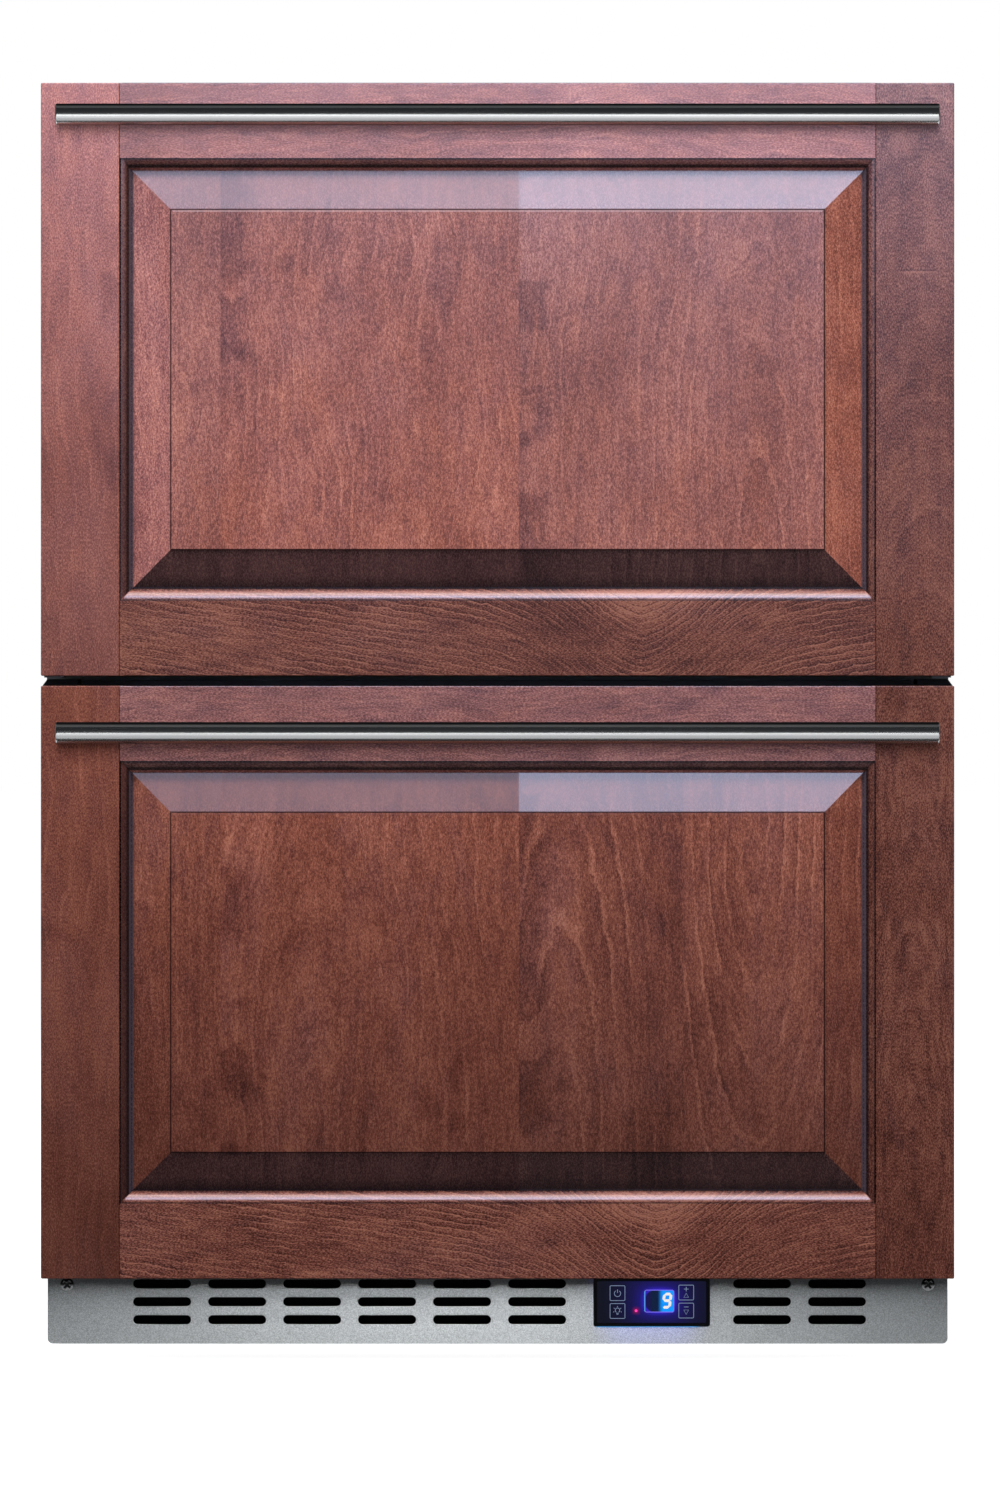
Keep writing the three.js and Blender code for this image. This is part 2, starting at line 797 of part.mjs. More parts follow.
function steelFront(shellDrop, capRise) {
  const side = shellSide;
  const bottom = -shellDrop;
  const middle = bottom + cornerTabHeight;
  const top = panelHeight + capRise - capHeight - clearance;
  const shape = outline([
    [-side, bottom],
    [-side + cornerTabWidth, bottom],
    [-side + cornerTabWidth + cornerTabHeight, middle],
    [side - cornerTabWidth - cornerTabHeight, middle],
    [side - cornerTabWidth, bottom],
    [side, bottom],
    [side, top],
    [-side, top],
  ]);
  return extrude('y', shape, shellFront, shellBack);
}

// The plastic cap along the steel front's top edge: two end blocks and a lower strip between them.
function topCap(capRise) {
  const top = panelHeight + capRise;
  const bottom = top - capHeight;
  const half = [
    [capSide, bottom],
    [capSide, top - capChamferHeight],
    [capSide - capChamferWidth, top],
    [capSide - capEndLength, top],
    [capSide - capEndLength, top - capNotchDepth],
    [capSide - capEndLength - capNotch, top - capNotchDepth],
    [capSide - capEndLength - capNotch, top - capStripDrop],
  ];
  const mirrored = half.map(([x, z]) => [-x, z]).reverse();
  return extrude('y', outline([...half, ...mirrored]), shellFront, shellBack);
}

// The magnetic seal: its inner edge keeps just outside the compartment's window.
function gasket(windowBottom, windowTop, base) {
  const side = shellSide - gasketInset;
  const inner = side - gasketWidth;
  const low = windowBottom - gasketLap - base;
  const high = windowTop + gasketLap - base;
  const ring = roundedRectangle(-side, side, low - gasketWidth, high + gasketWidth, gasketRadius);
  ring.holes.push(roundedHole(-inner, inner, low, high, gasketRadius / 3));
  return extrude('y', ring, gasketFront, gasketFront + gasketThickness);
}

// ---------------------------------------------------------------------------------------------
// Slides, drawer frames and bins
// ---------------------------------------------------------------------------------------------

// A C section on one side wall, given by how far its web and its lips stand in from the wall.
function channel(side, web, lip, height, sheetSide, centre, from, to) {
  const at = (offset) => side * (windowSide - offset);
  const inside = web + sheetSide * slideSheet;
  const half = height / 2;
  return extrude('y', outline([
    [at(web), centre - half],
    [at(lip), centre - half],
    [at(lip), centre - half + slideSheet],
    [at(inside), centre - half + slideSheet],
    [at(inside), centre + half - slideSheet],
    [at(lip), centre + half - slideSheet],
    [at(lip), centre + half],
    [at(web), centre + half],
  ]), from, to);
}

function outerMember(side, centre) {
  return channel(side, clearance, outerLip, slideHeight, 1, centre, slideStart, slideEnd);
}

function middleMember(side, centre) {
  return channel(side, middleWeb, middleLip, middleHeight, 1, centre, slideStart, slideEnd);
}

// Both inner slide members, joined across the back and turned in at the front to bolt to the steel front.
function drawerFrame(centre) {
  const web = innerWeb + slideSheet;
  const inside = windowSide - web;
  const parts = [block(
    [-inside - slideSheet / 2, inside + slideSheet / 2],
    [slideEnd - crossBarDepth, slideEnd],
    [centre - crossBarHeight / 2, centre + crossBarHeight / 2],
  )];
  for (const side of [-1, 1]) {
    parts.push(channel(side, web, innerLip, innerHeight, -1, centre, drawerBack, slideEnd));
    parts.push(block(
      onSide(side, inside - mountTab, inside + slideSheet / 2),
      [drawerBack, drawerBack + slideSheet],
      [centre - crossBarHeight / 2, centre + crossBarHeight / 2],
    ));
  }
  return join(...parts);
}

const binSide = windowSide - innerWeb - slideSheet - binSideGap;
const binFront = drawerBack + binFrontGap;
const binBack = slideEnd - crossBarDepth - binRearGap;

// A tub hung by its side rims on the inner slide members. The profile is its side outline.
function bin(profile, centre) {
  const rimLow = centre + innerHeight / 2 + clearance;
  const rimTop = rimLow + binRim;
  const inner = binSide - binWall;
  const reach = windowSide - innerWeb;
  const rims = [-1, 1].map((side) => (
    block(onSide(side, inner, reach), [binFront, binBack], [rimLow, rimTop])
  ));
  const grip = rod('y', binGripWidth / 2, binBack - 2 * binWall, binBack + binWall, 0, 0);
  grip.scale(1, 1, (2 * binGripDrop) / binGripWidth);
  grip.translate(0, 0, rimTop);
  return cut(
    join(extrude('x', outline(profile(0, rimTop)), -binSide, binSide), ...rims),
    extrude('x', outline(profile(binWall, rimTop + past)), -inner, inner),
    grip,
  );
}

function upperBinProfile(wall, top) {
  const floor = upperFloor + binFloorGap + wall;
  return [
    [binFront + wall, floor],
    [binBack - wall, floor],
    [binBack - wall, top],
    [binFront + wall, top],
  ];
}

// Deep at the front and shallow where it passes over the machine space.
function lowerBinProfile(wall, top) {
  const floor = lowerFloor + binFloorGap + wall;
  const shelf = stepTop + liner + binFloorGap + wall;
  const deepBack = stepFront - liner - binStepGap - wall;
  return [
    [binFront + wall, floor],
    [deepBack, floor],
    [deepBack, shelf],
    [binBack - wall, shelf],
    [binBack - wall, top],
    [binFront + wall, top],
  ];
}

// ---------------------------------------------------------------------------------------------
// Cooling machinery
// ---------------------------------------------------------------------------------------------

// A hub and pitched blades turning about the local Z axis, centred on the origin.
function fanWheel(radius) {
  const hub = new THREE.CylinderGeometry(fanHubRadius, fanHubRadius, fanHubLength, 20);
  hub.rotateX(Math.PI / 2);
  const blades = [];
  for (let index = 0; index < fanBlades; index += 1) {
    const blade = new THREE.BoxGeometry(radius, bladeChord, bladeThickness);
    blade.rotateX(bladePitch);
    blade.translate(fanHubRadius / 2 + radius / 2, 0, 0);
    blade.rotateZ((index / fanBlades) * 2 * Math.PI);
    blades.push(blade);
  }
  const sweep = rod('z', radius, -bladeChord, bladeChord, 0, 0, 30);
  return trimTo(join(hub, ...blades), sweep);
}

// A ring round a fan, open at both ends, with a motor on two crossed struts behind the fan.
function fanRing(radius) {
  const outer = radius + fanTipGap + ringWall;
  const ring = cut(
    rod('z', outer, 0, ringLength + motorLength, 0, 0, 30),
    rod('z', radius + fanTipGap, -past, ringLength + motorLength + past, 0, 0, 30),
  );
  const reach = [lap - outer, outer - lap];
  const width = [-strutWidth / 2, strutWidth / 2];
  const level = [ringLength, ringLength + strutWidth];
  const struts = [block(reach, width, level), block(width, reach, level)];
  return join(ring, ...struts, rod('z', motorRadius, ringLength, ringLength + motorLength, 0, 0, 20));
}

// The wall across the machine space that carries the condenser fan, blowing along X.
function fanShroud() {
  const radius = condenserFanRadius;
  const wall = outline([
    [machineFront + clearance, basePanTop + clearance],
    [coverFront - clearance, basePanTop + clearance],
    [coverFront - clearance, machineTop - clearance],
    [machineFront + clearance, machineTop - clearance],
  ]);
  wall.holes.push(roundHole(machineMiddle, condenserFanHeight, radius + fanTipGap + ringWall / 2));
  const ring = fanRing(radius);
  ring.rotateY(Math.PI / 2);
  ring.translate(shroudX, machineMiddle, condenserFanHeight);
  return join(extrude('x', wall, shroudX, shroudX + ringWall), ring);
}

// The inside back panel: return slots low down, and a ring with the evaporator fan's motor high up.
function evaporatorCover() {
  const radius = evaporatorFanRadius;
  const side = windowSide - clearance;
  const plate = roundedRectangle(-side, side, upperFloor + clearance, upperCeiling - clearance, 0);
  plate.holes.push(roundHole(0, evaporatorFanZ, radius + fanTipGap + ringWall / 2));
  for (let index = 0; index < returnSlots; index += 1) {
    const x = (index - (returnSlots - 1) / 2) * slotPitch;
    plate.holes.push(slotHole(x, upperFloor + firstSlotRow, slotLength, slotHeight));
  }
  const ring = fanRing(radius);
  ring.rotateX(-Math.PI / 2);
  ring.translate(0, evaporatorCoverFront, evaporatorFanZ);
  return join(extrude('y', plate, evaporatorCoverFront, evaporatorCoverFront + ringWall, 1), ring);
}

// Straight tubes along an axis with half-round bends at alternate ends, stacked upwards.
function serpentine(axis, passes, pitch, run, radius) {
  const parts = [];
  const overrun = 0.05;
  const along = (distance, height) => (
    axis === 'y' ? new THREE.Vector3(0, distance, height) : new THREE.Vector3(distance, 0, height)
  );
  for (let pass = 0; pass < passes; pass += 1) {
    const z = pass * pitch;
    const reach = run / 2 + overrun;
    const start = pass === 0 ? -reach - pitch / 2 : -reach;
    parts.push(rod(axis, radius, start, reach, 0, z, 6));
    if (pass < passes - 1) {
      const end = pass % 2 === 0 ? 1 : -1;
      const arc = [];
      for (let step = 0; step <= 12; step += 1) {
        const angle = (step / 12) * Math.PI - Math.PI / 2;
        const out = end * (run / 2 + (pitch / 2) * Math.cos(angle));
        arc.push(along(out, z + pitch / 2 + (pitch / 2) * Math.sin(angle)));
      }
      const bend = new THREE.CatmullRomCurve3(arc);
      const round = new THREE.Shape();
      round.absarc(0, 0, radius, 0, 2 * Math.PI);
      parts.push(new THREE.ExtrudeGeometry(round, { steps: 5, extrudePath: bend, curveSegments: 3 }));
    }
  }
  return join(...parts);
}

// The condenser's serpentine on two straps that stand on the base pan.
function condenserCoil() {
  const tube = serpentine('y', coilPasses, coilPitch, coilRun, coilTube);
  tube.translate(coilX, machineMiddle, coilBottom);
  const top = coilBottom + (coilPasses - 1) * coilPitch + coilPitch / 2;
  const straps = [-1, 1].map((end) => {
    const y = machineMiddle + end * (coilRun / 2 - strapWidth);
    return block(
      [coilX - strapWidth / 2, coilX + strapWidth / 2],
      [y - slideSheet / 2, y + slideSheet / 2],
      [basePanTop + clearance, top],
    );
  });
  return join(tube, ...straps);
}

// A finned serpentine behind the evaporator cover.
function evaporatorCoil() {
  const pitch = evaporatorHeight / evaporatorPasses;
  const run = evaporatorWidth - pitch;
  const middle = linerBack - liner - finDepth / 2 - clearance;
  const tube = serpentine('x', evaporatorPasses, pitch, run, coilTube);
  tube.translate(0, middle, evaporatorLow + pitch / 2);
  const fins = [];
  for (let index = 0; index < finCount; index += 1) {
    const x = (index / (finCount - 1) - 0.5) * (run - pitch);
    fins.push(block(
      [x - finThickness / 2, x + finThickness / 2],
      [middle - finDepth / 2, middle + finDepth / 2],
      [evaporatorLow, evaporatorLow + evaporatorHeight],
    ));
  }
  return join(tube, ...fins);
}

// A welded dome's curve, in shares of its radius and its height.
const DOME = [[0.8, 0], [1, 0.12], [1, 0.66], [0.9, 0.84], [0.55, 0.96]];

// The dome on a foot plate with four rubber grommets and two pipe stubs.
function compressor() {
  const r = compressorRadius;
  const h = compressorHeight;
  const plateLow = basePanTop + grommetHeight;
  const dome = lathe([
    [0, 0],
    ...DOME.map(([out, up]) => [r * out, h * up]),
    [0, h],
  ], 28);
  dome.rotateX(Math.PI / 2);
  dome.translate(compressorX, machineMiddle, plateLow + compressorPlate - lap);
  const plate = block(
    [compressorX - compressorPlateWidth / 2, compressorX + compressorPlateWidth / 2],
    [machineMiddle - compressorPlateDepth / 2, machineMiddle + compressorPlateDepth / 2],
    [plateLow, plateLow + compressorPlate],
  );
  const grommets = [];
  for (const sideX of [-1, 1]) {
    for (const sideY of [-1, 1]) {
      const x = compressorX + sideX * (compressorPlateWidth / 2 - grommetInset);
      const y = machineMiddle + sideY * (compressorPlateDepth / 2 - grommetInset);
      grommets.push(rod('z', grommetRadius, basePanTop + clearance, plateLow + lap, x, y, 16));
    }
  }
  const stub = [coilTube, compressorX - r - stubLength, compressorX - r / 2];
  const stubs = [-1, 1].map((side) => (
    rod('x', ...stub, machineMiddle + side * r / 3, plateLow + h / 2, 10)
  ));
  return join(dome, plate, ...grommets, ...stubs);
}

function drainPan() {
  const x = [footInset + footBossRadius + drainPanWall - halfWidth, coilX - strapWidth];
  const y = [machineFront + drainPanHeight, coverFront - drainPanHeight];
  const z = [basePanTop + clearance, basePanTop + clearance + drainPanHeight];
  const inside = ([low, high]) => [low + drainPanWall, high - drainPanWall];
  return cut(block(x, y, z), block(inside(x), inside(y), [z[0] + drainPanWall, z[1] + past]));
}

// The louvred plate over the back of the machine space, with the power lead's hole.
function machineCover() {
  const plate = roundedRectangle(-sideInside, sideInside, basePanTop, machineTop - clearance, 0);
  for (const centre of [louvreLeft, louvreRight]) {
    for (let row = 0; row < louvreRows; row += 1) {
      plate.holes.push(slotHole(centre, louvreBottom + row * louvrePitch, louvreLength, slotHeight));
    }
  }
  plate.holes.push(roundHole(inletX, inletHeight, inletBarrel + clearance));
  return extrude('y', plate, coverFront, coverBack, 1);
}

// The power lead's gland: a flanged bush with a short nose, its seat on the machine cover's back.
function powerInlet() {
  return lathe([
    [inletBore, -inletBarrelLength],
    [inletBarrel, -inletBarrelLength],
    [inletBarrel, clearance / 2],
    [inletFlange, clearance / 2],
    [inletFlange, inletFlangeHeight],
    [inletNose + inletNoseTaper, inletFlangeHeight],
    [inletNose, inletFlangeHeight + inletNoseLength],
    [inletBore, inletFlangeHeight + inletNoseLength],
    [inletBore, -inletBarrelLength],
  ], 20);
}

function lampStrip() {
  const y = [boxFront + lampDepth, boxFront + 2 * lampDepth];
  const top = upperCeiling - clearance;
  const profile = outline([
    [y[0], top],
    [y[0] + lampTaper, top - lampHeight],
    [y[1] - lampTaper, top - lampHeight],
    [y[1], top],
  ]);
  return extrude('x', profile, -lampLength / 2, lampLength / 2);
}

// ---------------------------------------------------------------------------------------------
// Assembly
// ---------------------------------------------------------------------------------------------

const cabinet = new THREE.Group();
refrigerator.add(cabinet);
addPiece(cabinet, 'left_side_panel', sidePanel(-1), PAINTED_STEEL);
addPiece(cabinet, 'right_side_panel', sidePanel(1), PAINTED_STEEL);
addPiece(cabinet, 'top_panel', topPanel(), PAINTED_STEEL);
addPiece(cabinet, 'rear_panel', rearPanel(), GALVANISED);
addPiece(cabinet, 'face_frame', faceFrame(), BRUSHED_STEEL);
addPiece(cabinet, 'insulation_foam', insulation(), FOAM);
addPiece(cabinet, 'upper_liner', linerTub(upperCompartment), WHITE_PLASTIC);
addPiece(cabinet, 'lower_liner', linerTub(lowerCompartment), WHITE_PLASTIC);
addPiece(cabinet, 'base_pan', basePan(), GALVANISED);
for (const [name, [x, y]] of Object.entries(footPlaces)) {
  addPiece(cabinet, name, levellingFoot(), RUBBER, [x, y, 0]);
}

const toe = new THREE.Group();
refrigerator.add(toe);
addPiece(toe, 'toe_kick_grille', toeKick(), BRUSHED_STEEL);
for (const [name, side] of [['left_toe_screw', -1], ['right_toe_screw', 1]]) {
  const seat = [side * screwSide, toeFront - clearance / 3, toeBottom + screwHeight];
  addPiece(toe, name, toeScrew(), BRUSHED_STEEL, seat, [0, side * Math.PI / 5, 0]);
}
addPiece(toe, 'control_housing', controlHousing(), DARK_PLASTIC);
addPiece(toe, 'control_lens', controlLens(), SMOKED_WINDOW);
addPiece(toe, 'control_board', controlBoard(), BOARD_GREEN);

const machinery = new THREE.Group();
refrigerator.add(machinery);
addPiece(machinery, 'compressor', compressor(), DARK_PLASTIC);
addPiece(machinery, 'condenser_coil', condenserCoil(), COPPER);
addPiece(machinery, 'fan_shroud', fanShroud(), DARK_PLASTIC);
addPiece(
  machinery,
  'condenser_fan',
  fanWheel(condenserFanRadius),
  DARK_PLASTIC,
  [shroudX + ringLength / 2, machineMiddle, condenserFanHeight],
  [0, Math.PI / 2, 0],
);
addPiece(machinery, 'evaporator_cover', evaporatorCover(), WHITE_PLASTIC);
addPiece(
  machinery,
  'evaporator_fan',
  fanWheel(evaporatorFanRadius),
  DARK_PLASTIC,
  [0, evaporatorCoverFront + ringLength / 2, evaporatorFanZ],
  [-Math.PI / 2, 0, 0],
);
addPiece(machinery, 'evaporator_coil', evaporatorCoil(), ALUMINIUM);
addPiece(machinery, 'drain_pan', drainPan(), DARK_PLASTIC);
addPiece(machinery, 'machine_cover', machineCover(), GALVANISED);
addPiece(machinery, 'power_inlet', powerInlet(), RUBBER, [inletX, coverBack, inletHeight]);
addPiece(machinery, 'lamp_strip', lampStrip(), WHITE_PLASTIC);

// One drawer: its wooden front, the steel front behind it, and what carries and fills it.
function addDrawer(name, options) {
  const front = new THREE.Group();
  front.position.set(0, panelFace, options.base);
  refrigerator.add(front);
  addPiece(front, `${name}_left_stile`, stile(-1), WOOD);
  addPiece(front, `${name}_right_stile`, stile(1), WOOD);
  addPiece(front, `${name}_top_rail`, rail(true), WOOD);
  addPiece(front, `${name}_bottom_rail`, rail(false), WOOD);
  addPiece(front, `${name}_raised_panel`, raisedPanel(), WOOD);
  const barPlace = [0, -handleStandoff, panelHeight - options.handleDrop];
  addPiece(front, `${name}_handle`, barHandle(), BRUSHED_STEEL, barPlace);
  addPiece(front, `${name}_steel_front`, steelFront(options.shellDrop, options.capRise), BRUSHED_STEEL);
  addPiece(front, `${name}_top_cap`, topCap(options.capRise), CAP_PLASTIC);
  addPiece(front, `${name}_gasket`, gasket(...options.window, options.base), RUBBER);

  const inside = new THREE.Group();
  refrigerator.add(inside);
  for (const [word, side] of [['left', -1], ['right', 1]]) {
    addPiece(inside, `${name}_${word}_outer_slide`, outerMember(side, options.slide), GALVANISED);
    addPiece(inside, `${name}_${word}_middle_slide`, middleMember(side, options.slide), GALVANISED);
  }
  addPiece(inside, `${name}_drawer_frame`, drawerFrame(options.slide), GALVANISED);
  addPiece(inside, `${name}_bin`, bin(options.binProfile, options.slide), WHITE_PLASTIC);
}

addDrawer('upper', {
  base: upperPanelBottom,
  handleDrop: upperHandleDrop,
  shellDrop: upperShellDrop,
  capRise: upperCapRise,
  window: [upperFloor, upperCeiling],
  slide: upperSlide,
  binProfile: upperBinProfile,
});
addDrawer('lower', {
  base: panelBottom,
  handleDrop: lowerHandleDrop,
  shellDrop: lowerShellDrop,
  capRise: lowerCapRise,
  window: [lowerFloor, lowerCeiling],
  slide: lowerSlide,
  binProfile: lowerBinProfile,
});

export default refrigerator;
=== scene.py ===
# %% [markdown]
# # An undercounter drawer refrigerator with wooden fronts
# The appliance is a black steel box with two drawers. Each drawer has a front of stained wood with a raised
# panel, a round steel bar to pull it by, and behind the wood a steel skin that carries the door seal. Under
# the drawers is a slotted toe kick with a small touch control in it. The shapes were made in CAD, so this
# lesson is about surfaces: crisp edges get their small roundings, parts that show close up are built finer,
# and every piece gets a finish made of procedural nodes.

import json
import math

import bmesh
import bpy
from mathutils import Matrix, Vector


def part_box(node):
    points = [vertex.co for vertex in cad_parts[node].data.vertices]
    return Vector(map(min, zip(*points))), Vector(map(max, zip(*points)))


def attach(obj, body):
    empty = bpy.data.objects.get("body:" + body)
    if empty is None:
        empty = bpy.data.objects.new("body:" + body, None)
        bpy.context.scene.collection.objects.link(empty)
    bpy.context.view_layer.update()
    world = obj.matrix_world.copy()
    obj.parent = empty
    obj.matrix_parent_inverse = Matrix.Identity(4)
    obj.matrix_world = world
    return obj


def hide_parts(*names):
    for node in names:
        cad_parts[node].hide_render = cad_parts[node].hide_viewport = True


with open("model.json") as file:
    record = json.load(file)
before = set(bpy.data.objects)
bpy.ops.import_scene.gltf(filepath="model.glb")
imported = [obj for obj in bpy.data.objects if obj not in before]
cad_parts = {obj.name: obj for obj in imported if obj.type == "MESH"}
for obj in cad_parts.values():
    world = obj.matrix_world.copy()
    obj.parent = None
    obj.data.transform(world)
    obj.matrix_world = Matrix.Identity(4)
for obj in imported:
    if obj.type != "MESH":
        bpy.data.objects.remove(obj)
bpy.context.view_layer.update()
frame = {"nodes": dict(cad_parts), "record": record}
nodes = frame["nodes"]

# %% [markdown]
# ## Camera
# A product photographer stands far back with a long lens, so that the front keeps its true proportions. The
# camera looks straight ahead at the lower rail of the upper drawer, and the lens is shifted down instead of
# tilted: a tilt would make the vertical edges lean together.

# %% Camera
MM = 0.001
SENSOR = 36                 # millimetres
PHOTO_ROWS = 1500
LEVEL_ROW = 650             # the photo's row that is level with the camera
MM_PER_PIXEL = 0.65674      # just before the panels
CAMERA_ASIDE, CAMERA_DISTANCE, CAMERA_HEIGHT = 1.6 * MM, 4.95, 0.4685

def add_object(name, data):
    """Puts data into the scene as a new object."""
    made = bpy.data.objects.new(name, data)
    bpy.context.scene.collection.objects.link(made)
    return made

camera = add_object("camera", bpy.data.cameras.new("camera"))
bpy.context.scene.camera = camera
panel_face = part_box("upper_raised_panel")[0].y - 0.5 * MM
camera.location = (CAMERA_ASIDE, panel_face - CAMERA_DISTANCE, CAMERA_HEIGHT)
camera.rotation_euler = (math.pi / 2, 0, 0)
camera.data.sensor_width = SENSOR
camera.data.lens = SENSOR * CAMERA_DISTANCE / (PHOTO_ROWS * MM_PER_PIXEL * MM)
camera.data.shift_y = (LEVEL_ROW - PHOTO_ROWS / 2) / PHOTO_ROWS
camera.data.clip_end = 60
print("lens:", round(camera.data.lens, 1), "mm, shift:", round(camera.data.shift_y, 4))

# %% [markdown]
# ## Short calls for node trees
# A finish made of nodes is a small calculation: a coordinate goes in, noise and curves change it, and a
# colour or a height comes out. Linking nodes by hand takes many lines. Here each kind of node gets one
# short call, and what leaves a node can be added, scaled and compared like a number, so that a material
# reads like a recipe.

# %% Node recipes
MIX_FACTOR, MIX_FIRST, MIX_SECOND, MIX_RESULT = 0, 6, 7, 2      # the colour sockets of the Mix node

class Wire:
    """What leaves a node. Arithmetic with it adds Math nodes to its recipe."""

    def __init__(self, recipe, socket):
        self.recipe, self.socket = recipe, socket

    def __rsub__(self, other):
        return self.recipe.math("SUBTRACT", other, self)

def sign(operation):
    return lambda wire, *others: wire.recipe.math(operation, wire, *others)

for name, operation in (("add", "ADD"), ("sub", "SUBTRACT"), ("mul", "MULTIPLY"), ("truediv", "DIVIDE"),
                        ("pow", "POWER"), ("lt", "LESS_THAN"), ("gt", "GREATER_THAN"), ("abs", "ABSOLUTE")):
    setattr(Wire, f"__{name}__", sign(operation))

class Recipe:
    """The node tree of a material or a world, with one call for each kind of node."""

    def __init__(self, owner):
        owner.use_nodes = True
        self.owner, self.tree = owner, owner.node_tree
        self.tree.nodes.clear()

    def put(self, socket, value):
        """Feeds a socket from a wire, or sets its number, vector or colour."""
        if isinstance(value, Wire):
            self.tree.links.new(value.socket, socket)
        else:
            socket.default_value = (*value, 1) if socket.type == "RGBA" else value

    def node(self, kind, feed=(), output=0, **settings):
        """Adds a node and gives the wire from one output. feed holds its inputs, in order or by name."""
        made = self.tree.nodes.new(kind)
        for name, value in settings.items():
            setattr(made, name, value)
        for key, value in feed.items() if isinstance(feed, dict) else enumerate(feed):
            self.put(made.inputs[key], value)
        return Wire(self, made.outputs[output])

    def end(self, kind, shader):
        self.tree.links.new(shader.socket, self.tree.nodes.new(kind).inputs["Surface"])

    def math(self, operation, *values, clamp=False):
        return self.node("ShaderNodeMath", values, operation=operation, use_clamp=clamp)

    def vector(self, operation, *values):
        return self.node("ShaderNodeVectorMath", values, operation=operation)

    def scaled(self, vector, amount):
        return self.node("ShaderNodeVectorMath", {"Vector": vector, "Scale": amount}, operation="SCALE")

    def joined(self, x, y, z):
        return self.node("ShaderNodeCombineXYZ", (x, y, z))

    def split(self, vector):
        first = self.node("ShaderNodeSeparateXYZ", [vector])
        return [Wire(self, socket) for socket in first.socket.node.outputs]

    def attribute(self, name):
        return self.node("ShaderNodeAttribute", output="Vector", attribute_name=name)

    def place(self):
        return self.node("ShaderNodeTexCoord", output="Object")

    def normal(self):
        return self.node("ShaderNodeNewGeometry", output="Normal")

    def noise(self, where, waves, detail=2.0, roughness=0.5, distortion=0.0):
        """Noise between 0 and 1. waves is their number per metre, or three numbers along the axes."""
        spread = self.vector("MULTIPLY", where, waves if isinstance(waves, tuple) else (waves,) * 3)
        return self.node("ShaderNodeTexNoise", {"Vector": spread, "Scale": 1.0, "Detail": detail,
                                                "Roughness": roughness, "Distortion": distortion}, "Fac")

    def cells(self, where, scale, output):
        return self.node("ShaderNodeTexVoronoi", {"Vector": where, "Scale": scale}, output)

    def stretch(self, value, low, high, new_low=0.0, new_high=1.0, smooth=False):
        """Takes low to new_low and high to new_high, and holds still outside them."""
        return self.node("ShaderNodeMapRange", (value, low, high, new_low, new_high), clamp=True,
                         interpolation_type="SMOOTHSTEP" if smooth else "LINEAR")

    def ramp(self, value, stops):
        """Goes through (position, colour or grey) stops."""
        shown = self.node("ShaderNodeValToRGB", [value], "Color")
        band = shown.socket.node.color_ramp
        while len(band.elements) < len(stops):
            band.elements.new(0.5)
        for element, (position, colour) in zip(band.elements, stops):
            element.position = position
            element.color = (*(colour if isinstance(colour, tuple) else (colour,) * 3), 1)
        return shown

    def mix(self, amount, first, second):
        return self.node("ShaderNodeMix", {MIX_FACTOR: amount, MIX_FIRST: first, MIX_SECOND: second},
                         MIX_RESULT, data_type="RGBA")

    def seen(self):
        """1 for what the camera, gloss or glass looks at, 0 for light on its way to matt surfaces."""
        camera_ray, glossy, through = (self.node("ShaderNodeLightPath", output=f"Is {kind} Ray")
                                       for kind in ("Camera", "Glossy", "Transmission"))
        return self.math("MAXIMUM", self.math("MAXIMUM", camera_ray, glossy), through)

class Finish(Recipe):
    """A material with the usual surface, whose inputs are given by name."""

    def __init__(self, name, **inputs):
        self.material = bpy.data.materials.new(name)
        super().__init__(self.material)
        self.surface = self.node("ShaderNodeBsdfPrincipled")
        self.end("ShaderNodeOutputMaterial", self.surface)
        self.given = {}
        self.set(**inputs)

    def set(self, **inputs):
        for name, value in inputs.items():
            self.put(self.surface.socket.node.inputs[name.replace("_", " ")], value)
        self.given.update(inputs)

    def bump(self, height, distance, strength):
        feed = {"Height": height, "Distance": distance, "Strength": strength}
        self.set(Normal=self.node("ShaderNodeBump", feed, "Normal"))

def times(colour, factor):
    """A colour made darker or lighter."""
    return tuple(factor * c for c in colour)

print("node calls:", [name for name in vars(Recipe) if not name.startswith("_")])
